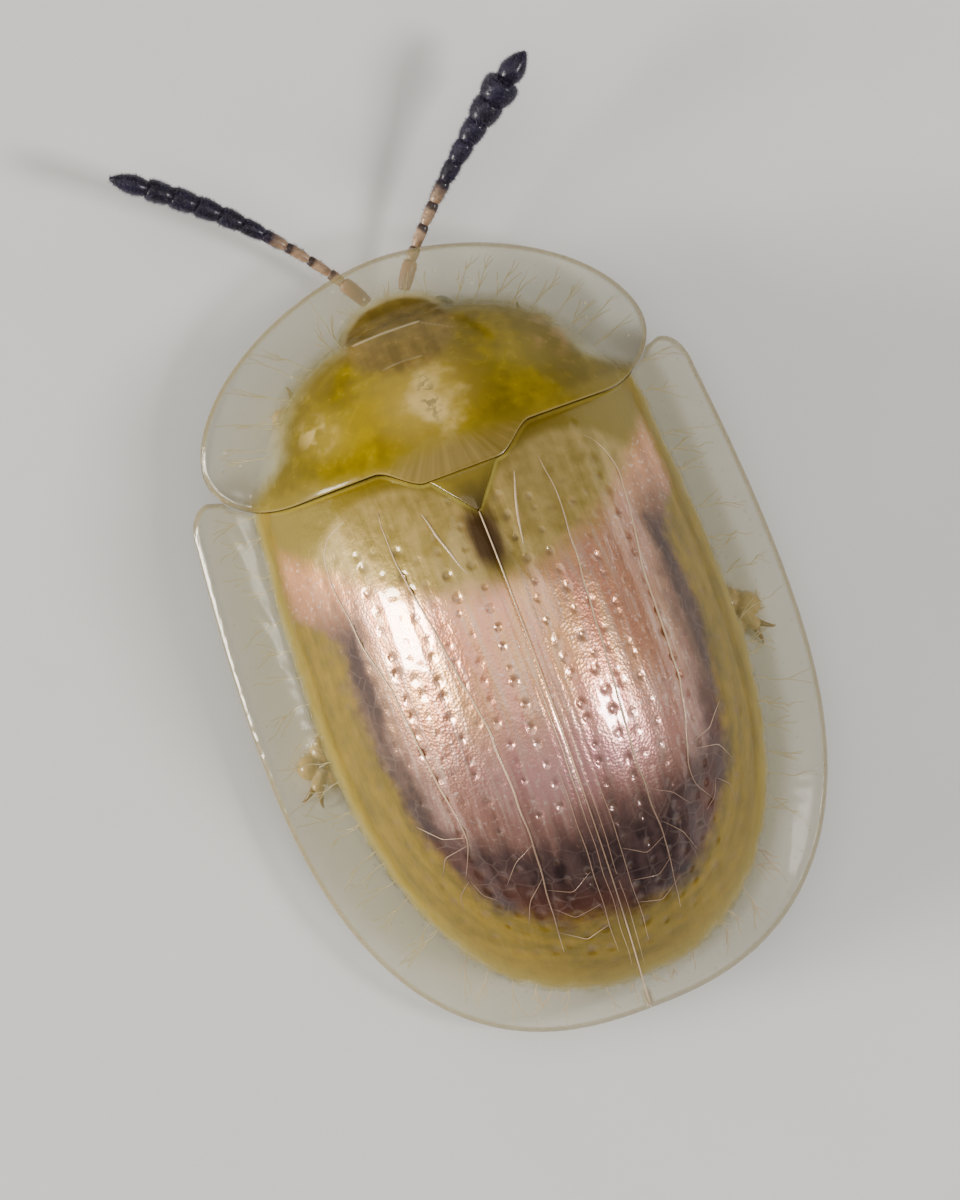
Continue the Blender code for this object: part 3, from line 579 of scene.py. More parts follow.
def case_look(start):
    side, y, _ = start.axes()
    x = side.math("ABSOLUTE")
    disc, out, pit = start.field("disc"), start.field("out"), start.field("pit")
    edge, arc = start.field("edge"), start.field("arc")
    coarse, fine, grit = start.noise(1.4, 4.0), start.noise(7.0, 4.0), start.noise(24.0, 2.0)
    streaks = start.noise(1.0, 4.0, start.place((7.0, 0.9, 1.0)))
    threads = start.noise(1.0, 2.0, start.place((28.0, 2.2, 1.0)))
    round_disc = start.node("CombineXYZ", {0: disc * 26.0, 1: arc * 2.6 + coarse, 2: 0.0})
    brushed = start.noise(1.0, 3.0, round_disc)
    uneven = (coarse - 0.5) * 0.16 + (fine - 0.5) * 0.09
    shoulder = (y + uneven * 2.0).step(3.10, 2.25)
    reach = disc + uneven - shoulder * 0.10
    # where the violet-brown horseshoe, the yellow ring and the yellowish base lie
    rear = (y + uneven * 2.6 + (streaks - 0.5) * 0.7 + x * x * 0.24).step(4.80, 5.50)
    violet = (reach.step(0.63, 0.75) * (1.0 - shoulder * 0.9)).math("MAXIMUM", rear)
    ring = (disc + uneven * 0.6 - (shoulder * 0.24).math("MINIMUM", 0.12)).step(0.77, 0.84)
    basal = (y + uneven * 1.4 + x * x * 0.33).step(3.28, 2.92)
    lobe_x, lobe_y = (x - 0.78) / 0.74, (y - 2.62) / 0.66
    lobe = ((lobe_x * lobe_x + lobe_y * lobe_y) ** 0.5 + uneven * 0.6).step(1.08, 0.92)
    deep = (disc + (streaks - 0.5) * 0.5 + (y - 3.0) * 0.05).step(0.28, 0.74) * 0.72
    pearl = streaks.step(0.36, 0.64).mix(CASE_PEARL, CASE_PEARL_PINK)
    pearl = ((y + uneven * 2.0).step(3.7, 4.9) * 0.65).mix(pearl, CASE_PEARL_LILAC)
    pearl = deep.mix(pearl, CASE_PEARL_DEEP)
    pearl = (threads.step(0.45, 0.70) * 0.5).mix(pearl, CASE_THREAD)
    pearl = (grit.step(0.60, 0.72) * 0.5).mix(pearl, CASE_GLINT)
    net = (start.cells(5.6, feature="DISTANCE_TO_EDGE") + (fine - 0.5) * 0.18).step(0.05, 0.0)
    dark = (streaks * 0.7 + fine * 0.5).step(0.42, 0.78).mix(CASE_VIOLET, CASE_VIOLET_PALE)
    mottled = (streaks + fine * 0.4).step(0.5, 0.9).mix(CASE_REAR_DARK, CASE_REAR)
    dark = rear.mix(mottled, dark)
    dark = (reach.step(0.66, 0.80) * coarse.step(0.42, 0.60) * rear * 0.8).mix(dark, CASE_RUST)
    dark = (net * 0.20).mix(dark, CASE_NET)
    yellow = (brushed * 0.7 + fine * 0.4).step(0.36, 0.76).mix(CASE_YELLOW, CASE_YELLOW_PALE)
    yellow = (disc.step(0.94, 0.985) * 0.4).mix(yellow, CASE_RING_EDGE)
    base = (fine * 0.5 + streaks * 0.7).step(0.38, 0.80).mix(CASE_LOBE, CASE_BASE_PALE)
    base = lobe.mix(CASE_BASE, base)
    # painted highlight: a pale line along the front edge of the base
    front_edge_highlight = edge.step(0.050, 0.015) * (y + x * 0.4).step(2.50, 2.35)
    base = (front_edge_highlight * 0.8).mix(base, CASE_BASE_EDGE_HIGHLIGHT)
    colour = violet.mix(pearl, dark)
    shine = (1.0 - violet * 0.65) * (1.0 - ring) * (1.0 - basal * 0.75)
    flush = (streaks * 0.6 + coarse * 0.5).step(0.42, 0.70).mix(CASE_FLUSH, CASE_FLUSH_PALE)
    flush = (grit.step(0.56, 0.68) * 0.7).mix(flush, CASE_FLUSH_GLINT)
    colour = (shoulder * (x + uneven * 1.5).step(1.00, 1.45) * 0.9).mix(colour, flush)
    colour = basal.mix(colour, base)
    colour = ring.mix(colour, yellow)
    # the dark smudge behind the scutellum, across the seam
    smudge_x, smudge_y = (side - 0.04) / 0.17, (y - 2.64) / 0.33
    smudge_x, smudge_y = smudge_x * smudge_x, smudge_y * smudge_y
    smudge = (smudge_x * smudge_x + smudge_y * smudge_y) ** 0.25
    smudge = (smudge + (streaks - 0.5) * 0.7 + uneven).step(1.20, 0.50)
    colour = (smudge * 0.92).mix(colour, CASE_SMUDGE)
    # painted shade: the pits are painted darker, the deeper the darker
    colour = (pit * 0.30).mix(colour, CASE_PIT_SHADE)
    # the clear margin and its thicker rim
    clear = (disc + (fine - 0.5) * 0.05 + (coarse - 0.5) * 0.03).step(0.975, 1.015)
    dots = start.cells(8.0, start.place((1.0, 1.0, 0.4))).step(0.16, 0.07)
    rim = edge.step(0.060, 0.020) * out.step(0.3, 0.6)
    colour = clear.mix(colour, (dots * 0.6).mix(CASE_CLEAR, CASE_DOT))
    colour = (rim * 0.8).mix(colour, CASE_RIM)
    shine = shine * (1.0 - clear) * (1.0 - smudge)
    rough = 0.38 - shine * 0.03 + (fine - 0.5) * 0.12 - clear * 0.14
    glaze = 1.0 - violet.math("MAXIMUM", ring) * (1.0 - rim) * 0.6
    glaze = glaze * (1.0 - basal * 0.55) * (1.0 - smudge * 0.85) * (1.0 - clear * (1.0 - rim) * 0.55)
    # the grain goes by plain masks of its own, because a bump works out all its inputs three times
    dull = disc.step(0.63, 0.78).math("MAXIMUM", (y + x * x * 0.24).step(4.80, 5.50))
    dull_base = (y + x * x * 0.33).step(3.28, 2.92)
    sparkle = (1.0 - dull * 0.65) * (1.0 - dull_base * 0.75) * disc.step(0.84, 0.77)
    flakes = start.cells(38.0) * sparkle * 0.9
    grain = start.bump(grit + threads * 1.2 * disc.step(1.01, 0.98) + flakes, 0.0030)
    return {
        "Base Color": colour,
        "Metallic": shine * 0.72,
        "Roughness": rough,
        "Alpha": 1.0 - clear * (0.80 - rim * 0.30 - dots * 0.10),
        "Normal": grain,
        "Specular IOR Level": 0.3,
        "Coat Weight": glaze,
        "Coat Roughness": 0.075,
        "Coat IOR": 1.9,
    }


def case_grid():
    """x and y of rows from the middle seam to the rim, which turn like a fan over the tail."""
    start, end = case_base(np.array([0.0, 1.0]))
    shares = edge_lines(CASE_COLUMNS, 2.0)
    bend = case_base(shares) - (start + shares[:, None] * (end - start))
    rows = edge_lines(CASE_ROWS, 3.2)
    inner, rim = case_inner_edge(rows), case_rim(rows)
    grid = inner[:, None] + shares[None, :, None] * (rim - inner)[:, None]
    grid = grid + (1.0 - rows)[:, None, None] * bend[None]
    return grid[..., 0], grid[..., 1]


case_material = make_material("wing_case", case_look)
case_x, case_y = case_grid()
left_mesh = plate_mesh("wing_case_left", case_x, case_y, case_height, case_wall, case_fields(20))
add_piece("wing_case_left", left_mesh, case_material, "elytra_shell", "elytron_left")
right_mesh = plate_mesh("wing_case_right", case_x, case_y, case_height, case_wall, case_fields(40))
right_mesh = mirrored(right_mesh, "wing_case_right")
add_piece("wing_case_right", right_mesh, case_material, "elytra_shell", "elytron_right")

# Scutellum.
# A small glossy triangle of horn, part of the middle breast, let in between the bases of the
# wing cases.  Olive, and darker towards its tip.
SCUTELLUM_TIP_HALF_WIDTH = 0.012
SCUTELLUM_WALL = 0.24
SCUTELLUM_RISE = 0.01
SCUTELLUM_OLIVE = (0.30, 0.220, 0.030)
SCUTELLUM_DARK = (0.12, 0.080, 0.012)


def scutellum_look(start):
    fine = start.noise(6.0, 4.0)
    _, y, _ = start.axes()
    dark = (y + (fine - 0.5) * 0.15).step(2.02, 2.35)
    return {
        "Base Color": dark.mix(SCUTELLUM_OLIVE, SCUTELLUM_DARK),
        "Roughness": 0.25 + fine * 0.1,
        "Coat Weight": 1.0,
        "Coat Roughness": 0.05,
        "Normal": start.bump(start.noise(18.0, 3.0), 0.002),
    }


def scutellum_fields(x, y, edge):
    return {"relief": 0.014 - 0.012 * bell(edge, 0.05), "round": np.full_like(x, 0.12)}


across, along = np.meshgrid(edge_lines(34, 0.3), edge_lines(40, 0.36))
half_width = SCUTELLUM_HALF_WIDTH * (1.0 - along) + SCUTELLUM_TIP_HALF_WIDTH
scutellum_mesh = plate_mesh(
    "scutellum_plate",
    half_width * (2.0 * across - 1.0),
    LOBE_Y + SEAM + (SCUTELLUM_TIP_Y - LOBE_Y - SEAM) * along,
    lambda x, y: case_height(x, y) + SCUTELLUM_RISE,
    lambda x, y: np.full_like(x, SCUTELLUM_WALL),
    scutellum_fields,
)
scutellum_material = make_material("scutellum", scutellum_look)
add_piece("scutellum_plate", scutellum_mesh, scutellum_material, "scutellum_shell", "scutellum")

# Shield.
# The pronotum: one clear horny plate, joined to the front breast, that covers the head.  The
# yellow-green body shows in its middle, and the head shows through its front.
SHIELD_COLUMNS = 210
SHIELD_ROWS = 150
SHIELD_POWER = 1.78
SHIELD_DISC_LENGTH = 1.44
SHIELD_DISC_HALF_WIDTH = 1.74
SHIELD_DOME_Z = 0.86
SHIELD_DOME_RISE = 1.24
SHIELD_RIM_Z = 0.45
SHIELD_FRONT_RISE = 0.17
SHIELD_FLANGE_Z = 0.74
RIDGE_X = 0.15
RIDGE_Y = 0.655
RIDGE_RISE = 0.007
SHIELD_BEAD_RISE = 0.012


def shield_front_y(x):
    curve = np.clip(1.0 - (np.abs(x) / SHIELD_HALF_WIDTH) ** SHIELD_POWER, 0.0, 1.0)
    return SHIELD_WIDEST_Y * (1.0 - curve ** (1 / SHIELD_POWER))


def shield_arch(x, y):
    """1 behind the middle of the shield, 0 where its disc ends, negative on the margin."""
    ahead = np.clip((LOBE_Y - y) / SHIELD_DISC_LENGTH, 0.0, None) ** 1.7
    return 1.0 - ahead - (np.abs(x) / SHIELD_DISC_HALF_WIDTH) ** DISC_POWER


def shield_out(x, y):
    """0 on the disc, rising to 1 at the rim."""
    return np.clip(-shield_arch(x, y) / 0.75, 0.0, 1.0)


def shield_height(x, y):
    dome = SHIELD_DOME_Z + SHIELD_DOME_RISE * signed_power(shield_arch(x, y), 0.85)
    ahead = np.clip((SHIELD_WIDEST_Y - y) / SHIELD_WIDEST_Y, 0.0, 1.0)
    rim = SHIELD_RIM_Z + SHIELD_FRONT_RISE * ahead
    return smooth_max(dome, rim + (SHIELD_FLANGE_Z - rim) * (1.0 - shield_out(x, y)) ** 1.3)


def shield_wall(x, y):
    return horn_wall(shield_arch(x, y) * 2.0, shield_out(x, y))


def shield_fields(x, y, edge):
    """Numbers for the points of the shield: its relief, and the fine raised lines over the head."""
    out = shield_out(x, y)
    uneven = wander(x, y, 60, 0.6) * 0.004 + wander(x, y, 61, 0.2) * 0.0012
    bead = bell(edge - BEAD_INSET, BEAD_WIDTH) * (out > 0.2)
    ridge = bell(y - RIDGE_Y - 0.12 * (x - RIDGE_X) ** 2, 0.012)
    ridge = ridge * smooth_step((0.36 - np.abs(x - RIDGE_X)) / 0.08)
    crease = bell(y - 0.67 + 0.58 * (x + 0.15), 0.024) * smooth_step((-x - 0.12) / 0.06)
    crease = crease * smooth_step((0.64 + x) / 0.3)
    fold = bell(y - 0.955 - 0.4 * (x - 0.12) ** 2, 0.014)
    fold = fold * smooth_step((0.25 - np.abs(x - 0.12)) / 0.08)
    ridge = np.maximum(np.maximum(ridge, 0.55 * crease), 0.6 * fold)
    relief = uneven + SHIELD_BEAD_RISE * bead + RIDGE_RISE * ridge
    return {"relief": relief, "round": 0.08 + 0.87 * smooth_step(out * 4), "ridge": ridge}


SHIELD_YELLOW = (0.215, 0.150, 0.002)
SHIELD_YELLOW_LIGHT = (0.400, 0.290, 0.018)
SHIELD_DEEP = (0.130, 0.096, 0.001)
SHIELD_WHITE = (0.80, 0.60, 0.26)
SHIELD_CLEAR = (0.50, 0.46, 0.24)
SHIELD_BROWN = (0.125, 0.082, 0.020)
SHIELD_BROWN_LIGHT = (0.22, 0.150, 0.036)
SHIELD_CREAM = (0.56, 0.41, 0.115)
SHIELD_MARK = (0.17, 0.16, 0.085)
SHIELD_BAND = (0.34, 0.255, 0.045)
SHIELD_LOBE = ((0.25, 0.180, 0.040), (0.37, 0.265, 0.085))
SHIELD_FIBRES = ((0.22, 0.145, 0.030), (0.40, 0.270, 0.075))
SHIELD_HEAD_LINE = (0.62, 0.52, 0.30)
SHIELD_RIDGE_HIGHLIGHT = (0.66, 0.54, 0.34)
SHIELD_SPECK = (0.80, 0.74, 0.50)
SHIELD_LIP = (0.42, 0.33, 0.14)
SHIELD_SOFT = (0.52, 0.40, 0.12)
SHIELD_RUST = (0.50, 0.27, 0.10)
SHIELD_STRAW = (0.50, 0.41, 0.10)


def shield_look(start):
    x, y, _ = start.axes()
    aside = x.math("ABSOLUTE")
    edge, ridge = start.field("edge"), start.field("ridge")
    coarse, fine, grit = start.noise(1.6, 4.0), start.noise(8.0, 4.0), start.noise(20.0, 2.0)
    cloud = start.noise(4.5, 3.0)
    uneven = (coarse - 0.5) * 0.5 + (fine - 0.5) * 0.16

    def patch(centre_x, centre_y, size_x, size_y, ragged):
        """0 in the middle of a patch, 1 at its ragged border."""
        away_x, away_y = (x - centre_x) / size_x, (y - centre_y) / size_y
        return (away_x * away_x + away_y * away_y) ** 0.5 + uneven * ragged

    # the yellow-green body under the middle, and the head under its front
    wide = 1.43 + (y - 1.35).step(0.0, 0.40) * 0.38
    ahead = ((1.80 - y).math("MAXIMUM", 0.0) / 1.20) ** 2.5
    reach = ((aside / wide) ** 2.5 + ahead) ** 0.4 + uneven * 0.10 + (fine - 0.5) * 0.06
    window = patch(0.06, 0.70, 0.50, 0.345, 0.45)
    head = window.step(1.18, 0.84)
    body = reach.step(1.10, 0.91).math("MAXIMUM", head)
    colour = (coarse * 0.8 + fine * 0.5).step(0.50, 0.85).mix(SHIELD_YELLOW, SHIELD_YELLOW_LIGHT)
    colour = (aside.step(0.75, 1.45) * 0.6).mix(colour, SHIELD_DEEP)
    cream = patch(0.10, 1.32, 0.62, 0.50, 1.2).step(1.2, 0.1)
    colour = (cream * 0.75).mix(colour, SHIELD_CREAM)
    diamond = ((x - 0.01) / 0.27).math("ABSOLUTE") + ((y - 1.36) / 0.42).math("ABSOLUTE")
    diamond = (diamond + (cloud - 0.5) * 2.4).step(1.30, 0.20)
    colour = (diamond * 0.80).mix(colour, SHIELD_WHITE)
    soft = patch(0.90, 1.36, 0.36, 0.30, 2.0).step(1.1, 0.1)
    colour = (soft * 0.30).mix(colour, SHIELD_SOFT)
    white = patch(1.02, 1.30, 0.20, 0.20, 1.4).step(1.1, 0.2) * cloud.step(0.46, 0.58)
    colour = (white * 0.55).mix(colour, SHIELD_WHITE)
    rust = patch(-1.17, 1.18, 0.20, 0.24, 1.4).step(1.1, 0.3) * cloud.step(0.40, 0.60)
    colour = (rust * 0.5).mix(colour, SHIELD_RUST)
    straw = patch(-0.78, 1.26, 0.40, 0.30, 2.6).step(1.1, 0.2)
    colour = (straw * 0.20).mix(colour, SHIELD_STRAW)
    marks = (grit * 0.6 + fine * 0.6).step(0.60, 0.72)
    marks = marks * patch(0.03, 1.34, 0.09, 0.24, 1.2).step(1.3, 0.4)
    colour = (marks * 0.6).mix(colour, SHIELD_MARK)
    hind_band = (y + (fine - 0.5) * 0.06).step(1.60, 1.74)
    colour = (hind_band * 0.45).mix(colour, SHIELD_BAND)
    spokes = (x / (y - 1.35).math("MAXIMUM", 0.1)) * 9.0
    fan = start.noise(1.0, 3.0, start.node("CombineXYZ", {0: spokes, 1: 0.0, 2: 0.0}))
    lobe = (y + (fine - 0.5) * 0.10 - aside * 0.10).step(1.64, 1.86)
    colour = lobe.mix(colour, fan.step(0.25, 0.8).mix(*SHIELD_LOBE))
    brown = (coarse * 0.6 + fine).step(0.55, 1.0).mix(SHIELD_BROWN, SHIELD_BROWN_LIGHT)
    fibres = start.noise(1.0, 3.0, start.place((9.0, 1.6, 1.0)))
    behind = (fibres * 0.8 + fine * 0.4).step(0.42, 0.78).mix(*SHIELD_FIBRES)
    brown = (y.step(RIDGE_Y - 0.03, RIDGE_Y + 0.05) * 0.8).mix(brown, behind)
    colour = (head * 0.85).mix(colour, brown)
    outline = window.step(0.86, 0.99) * window.step(1.14, 1.01) * y.step(0.72, 0.55)
    colour = (outline * 0.55).mix(colour, SHIELD_HEAD_LINE)
    # painted highlight: a pale line along the raised ridge, crease and fold over the head
    colour = (ridge.step(0.3, 0.8) * 0.8).mix(colour, SHIELD_RIDGE_HIGHLIGHT)
    corner = (aside - 1.45).step(0.0, 0.35) * (y - 1.2).step(0.0, 0.3)
    clear_colour = (corner * 0.6).mix(SHIELD_CLEAR, SHIELD_BROWN)
    speck = start.cells(5.5).step(0.13, 0.06) * (1.0 - body)
    rim = edge.step(0.060, 0.020) * (y - 1.5).step(0.25, 0.05)
    hind = (y - 1.5).step(0.0, 0.2) * edge.step(0.022, 0.008)
    colour = body.mix((speck * 0.6).mix(clear_colour, SHIELD_SPECK), colour)
    colour = (rim * (1.0 - hind) * 0.8).mix(colour, CASE_RIM)
    colour = (hind * 0.5).mix(colour, SHIELD_LIP)
    alpha = (speck * 0.25 + rim * 0.30 + corner * 0.12) * (1.0 - body)
    alpha = alpha + 0.20 + body * (0.79 - head * 0.08)
    return {
        "Base Color": colour,
        "Roughness": 0.26 + (fine - 0.5) * 0.12 - (1.0 - body) * 0.04,
        "Alpha": alpha.math("MINIMUM", 1.0),
        "Normal": start.bump(start.noise(22.0, 2.0), 0.0012),
        "Specular IOR Level": 0.3,
        "Coat Weight": 1.0 - body.math("MAXIMUM", lobe) * 0.85 - (1.0 - body) * (1.0 - rim) * 0.45,
        "Coat Roughness": 0.075,
        "Coat IOR": 1.75,
    }


across, along = np.meshgrid(edge_lines(SHIELD_COLUMNS, 5.0), edge_lines(SHIELD_ROWS, 1.7))
shield_x = SHIELD_HALF_WIDTH * np.sin(math.pi * (across - 0.5))
shield_y = shield_front_y(shield_x) + (hind_edge_y(shield_x) - shield_front_y(shield_x)) * along
shield_mesh = plate_mesh("shield", shield_x, shield_y, shield_height, shield_wall, shield_fields)
add_piece("shield", shield_mesh, make_material("shield", shield_look), "pronotum_shell", "pronotum")

# Veins.
# Pale air tubes inside the horn of the shell.  Long ones run down each wing case, thin
# branches join them over the tail, and twigs fork out into the clear margins.
VEIN_RADIUS = 0.0105
TWIG_RADIUS = 0.0054
VEIN_POINTS = 70
VEIN_DEPTH = 0.002
SEAM_TUBE_RADIUS = 0.0075
SEAM_TUBE_DEPTH = 0.007
SEAM_LINE_RADIUS = 0.0045
SEAM_LINES = ((0.055, 3.4, 6.6), (0.14, 4.7, 6.4), (-0.055, 3.5, 6.6), (-0.15, 4.6, 6.4))
FINE_VEIN_RADIUS = 0.8 * TWIG_RADIUS
FINE_VEIN_DEPTH = 0.001
TWIG_DEPTH = 0.028
CASE_TWIGS = 27
SHIELD_TWIGS = 22
LONG_VEINS = (
    (
        (1.05, 2.06), (1.27, 2.16), (1.36, 2.32), (1.38, 2.53), (1.31, 3.20),
        (1.21, 3.67), (1.16, 4.37), (1.08, 4.80), (1.06, 5.05), (1.17, 5.34),
    ),
    (
        (0.80, 2.12), (0.83, 2.41), (0.81, 2.65), (0.73, 3.20),
        (0.66, 3.70), (0.58, 4.22), (0.55, 5.23), (0.59, 6.24),
    ),
    ((0.47, 2.26), (0.38, 2.62), (0.29, 2.88)),
    (
        (-1.03, 2.06), (-1.14, 2.12), (-1.25, 2.30), (-1.29, 2.50), (-1.24, 2.91), (-1.16, 3.40),
        (-1.13, 4.37), (-1.05, 4.72), (-0.95, 5.07), (-0.95, 5.27), (-1.07, 5.43),
    ),
    (
        (-0.66, 2.12), (-0.69, 2.40), (-0.68, 2.62), (-0.63, 3.20),
        (-0.57, 4.05), (-0.52, 4.90), (-0.54, 5.74), (-0.49, 6.23),
    ),
    ((-0.41, 2.18), (-0.32, 2.45), (-0.25, 2.80)),
)
FINE_VEINS = (
    ((0.56, 5.62), (0.36, 5.72), (0.16, 5.60)),
    ((0.56, 5.80), (0.40, 5.94), (0.16, 5.90)),
    ((0.57, 6.02), (0.36, 6.16), (0.15, 6.10)),
    ((1.07, 4.95), (1.25, 4.90), (1.42, 4.72)),
    ((1.07, 5.02), (1.28, 5.06), (1.36, 5.22)),
    ((1.15, 5.32), (1.08, 5.48), (0.98, 5.56)),
    ((1.15, 5.32), (1.26, 5.42), (1.27, 5.55)),
    ((0.55, 5.20), (0.74, 5.30), (0.86, 5.46)),
    ((0.56, 5.50), (0.72, 5.66), (0.80, 5.86)),
)
VEIN_OLIVE = ((0.46, 0.37, 0.18), (0.64, 0.54, 0.33))
VEIN_PALE = ((0.62, 0.45, 0.28), (0.88, 0.70, 0.50))
VEIN_OVER_DARK = (0.30, 0.190, 0.140)


def swept(points, radii, sides=20, flat=1.0):
    """Points and faces of a closed bar of changing thickness along a path."""
    points = np.asarray(points, dtype=float)
    radii = np.asarray(radii, dtype=float)
    tangents = np.gradient(points, axis=0)
    tangents /= np.linalg.norm(tangents, axis=1)[:, None]
    side = np.cross(tangents, (0.0, 0.0, 1.0))
    side /= np.linalg.norm(side, axis=1)[:, None]
    up = np.cross(side, tangents)
    turns = np.linspace(0.0, 2 * math.pi, sides, endpoint=False)
    rings = (
        points[:, None]
        + radii[:, None, None] * np.cos(turns)[None, :, None] * side[:, None]
        + radii[:, None, None] * flat * np.sin(turns)[None, :, None] * up[:, None]
    )
    count = len(points)
    verts = np.concatenate([rings.reshape(-1, 3), points[:1], points[-1:]])
    index = np.arange(count * sides).reshape(count, sides)
    beside = np.roll(index, -1, axis=1)
    faces = np.stack([index[:-1], beside[:-1], beside[1:], index[1:]], 2).reshape(-1, 4).tolist()
    faces += [(beside[0, k], index[0, k], count * sides) for k in range(sides)]
    faces += [(index[-1, k], beside[-1, k], count * sides + 1) for k in range(sides)]
    return verts, faces


def joined(shapes):
    """One list of points and faces from several."""
    points, faces, count = [], [], 0
    for verts, sides in shapes:
        points.append(verts)
        faces += [tuple(count + index for index in face) for face in sides]
        count += len(verts)
    return np.concatenate(points), faces


def vein(points, surface, depth, radius, seed):
    """A thin tube that follows a line over a surface, this far below it."""
    path = resample(points, np.linspace(0.0, 1.0, VEIN_POINTS))
    reach = 20 // (len(points) - 1)
    weights = np.hanning(2 * reach + 1)
    weights /= weights.sum()
    padded = np.pad(path, ((reach, reach), (0, 0)), mode="reflect", reflect_type="odd")
    path = np.stack([np.convolve(column, weights, mode="valid") for column in padded.T], 1)
    path[:, 0] += 0.008 * wander(path[:, 0], path[:, 1], seed, 0.45)
    height = surface(path[:, 0], path[:, 1]) - depth
    thickness = radius * np.sqrt(np.sin(np.linspace(0.06, math.pi - 0.06, VEIN_POINTS)))
    return swept(np.column_stack([path, height]), thickness, 6)


def twigs(place, surface, count, seed):
    """Wavering twigs that leave the disc and fork on their way to the rim."""
    random = np.random.default_rng(seed)
    shapes = []
    for number in range(count):
        stem, slant = (number + random.uniform(0.1, 0.9)) / count, random.uniform(-0.03, 0.03)
        reach = random.uniform(0.45, 0.95)
        forks = [(0.0, reach, 0.0)]
        for _ in range(random.integers(1, 5)):
            start = random.uniform(0.1, 0.8) * reach
            end = min(start + random.uniform(0.12, 0.4), 0.96)
            forks.append((start, end, random.choice((-1, 1)) * random.uniform(0.02, 0.06)))
        for start, end, spread in forks:
            out = np.linspace(start, end, 18)
            waver = 0.0022 * wander(out, np.zeros_like(out), seed + number, 0.3)
            along = stem + slant * out + spread * (out - start) + waver
            points = place(np.clip(along, 0.004, 0.996), out)
            height = surface(points[:, 0], points[:, 1]) - TWIG_DEPTH
            shapes.append(swept(np.column_stack([points, height]), TWIG_RADIUS * (1.0 - 0.55 * out), 5))
    return shapes


def between(rim, middle, inside, out):
    """Points this share of the way from the edge of the disc to the rim."""
    low, high = np.zeros(len(rim)), np.ones(len(rim))
    for _ in range(16):
        half = (low + high) / 2
        points = middle + half[:, None] * (rim - middle)
        within = inside(points[:, 0], points[:, 1])
        low, high = np.where(within, half, low), np.where(within, high, half)
    return middle + (low + (1.0 - low) * out)[:, None] * (rim - middle)


def case_margin(along, out):
    rim = case_rim(along)
    middle = np.stack([np.zeros(len(rim)), np.minimum(rim[:, 1], FAN_CENTRE_Y)], 1)
    return between(rim, middle, lambda x, y: disc_share(x, y) < 0.97, out)


def shield_margin(along, out):
    x = SHIELD_HALF_WIDTH * np.sin(math.pi * (along - 0.5))
    rim = np.stack([x, shield_front_y(x)], 1)
    return between(rim, np.array([0.0, 1.7]), lambda x, y: shield_arch(x, y) > 0.02, out)


def vein_look(start):
    x, y, _ = start.axes()
    x = x.math("ABSOLUTE")
    fine = start.noise(9.0, 3.0)
    over_dark = y.step(4.6, 5.3) * x.step(1.55, 1.35) * y.step(6.3, 6.0)
    on_disc = y.step(2.0, 2.2) * x.step(1.55, 1.45)
    colour = on_disc.mix(fine.mix(*VEIN_OLIVE), fine.mix(*VEIN_PALE))
    colour = (over_dark * 0.85).mix(colour, VEIN_OVER_DARK)
    return {"Base Color": colour, "Roughness": 0.35, "Coat Weight": 0.4}


shapes = []
for number, points in enumerate(LONG_VEINS):
    shapes.append(vein(points, case_height, VEIN_DEPTH, VEIN_RADIUS, 90 + number))
seam_y = np.linspace(SCUTELLUM_TIP_Y + 0.02, BODY_LENGTH - 0.03, VEIN_POINTS)
seam_x = np.zeros(VEIN_POINTS)
seam_tube = np.column_stack([seam_x, seam_y, case_height(seam_x, seam_y) - SEAM_TUBE_DEPTH])
shapes.append(swept(seam_tube, np.full(VEIN_POINTS, SEAM_TUBE_RADIUS), 8))
for x, start_y, end_y in SEAM_LINES:
    shapes.append(vein(((x, start_y), (x, end_y)), case_height, VEIN_DEPTH, SEAM_LINE_RADIUS, 120))
for side in (1, -1):
    for number, points in enumerate(FINE_VEINS):
        points = np.array(points) * (side, 1.0) + (0.0, 0.05 * side)
        shapes.append(vein(points, case_height, FINE_VEIN_DEPTH, FINE_VEIN_RADIUS, 110 + number * side))
    margin = twigs(case_margin, case_height, CASE_TWIGS, 130 + side)
    shapes += [(points * (side, 1.0, 1.0), faces) for points, faces in margin]
vein_material = make_material("vein", vein_look)
case_veins = finished_mesh("wing_case_veins", *joined(shapes), {})
add_piece("wing_case_veins", case_veins, vein_material, "elytra_shell")
shield_veins = joined(twigs(shield_margin, shield_height, SHIELD_TWIGS, 150))
shield_veins = finished_mesh("shield_veins", *shield_veins, {})
add_piece("shield_veins", shield_veins, vein_material, "pronotum_shell")

# Underside.
# The trunk under the shell: front, middle and hind breast with a seam down the middle, and
# five belly plates that step back over one another.  One skin over the three solids.
TRUNK_FRONT_Y = 1.04
TRUNK_END_Y = 6.08
TRUNK_HALF_WIDTH = 1.42
TRUNK_SIDE_Z = 0.74
BELLY_DEPTH = 0.18
BELLY_SEAMS = (1.98, 2.46, 3.62, 4.12, 4.62, 5.12, 5.60)
TRUNK_RINGS = 250
TRUNK_SIDES = 160
TRUNK_POWER = 2.6
HIPS = ((0.34, 1.50), (0.42, 2.75), (0.46, 3.36))
HIP_HOLLOW = 0.055
SHELL_GAP = 0.06
TRUNK_LEAST_RISE = 0.06
BREAST_SPAN = (2.46, 3.60)
BELLY_FRONT_Y = 3.62
BELLY_SEAM_DEPTH = 0.034
BREAST_LINE_DEPTH = 0.026
BREAST_FOLD_DEPTH = 0.016
BELLY_GROOVE_DEPTH = 0.020
BELLY_SWELL = 0.016
UNDERSIDE_AMBER = ((0.34, 0.22, 0.030), (0.50, 0.36, 0.075))
UNDERSIDE_BROWN = (0.22, 0.12, 0.030)
UNDERSIDE_BREAST = (0.085, 0.042, 0.018)
UNDERSIDE_FRONT = (0.34, 0.28, 0.03)
UNDERSIDE_GROOVE_SHADE = (0.12, 0.065, 0.020)
UNDERSIDE_POINT = (0.10, 0.06, 0.015)


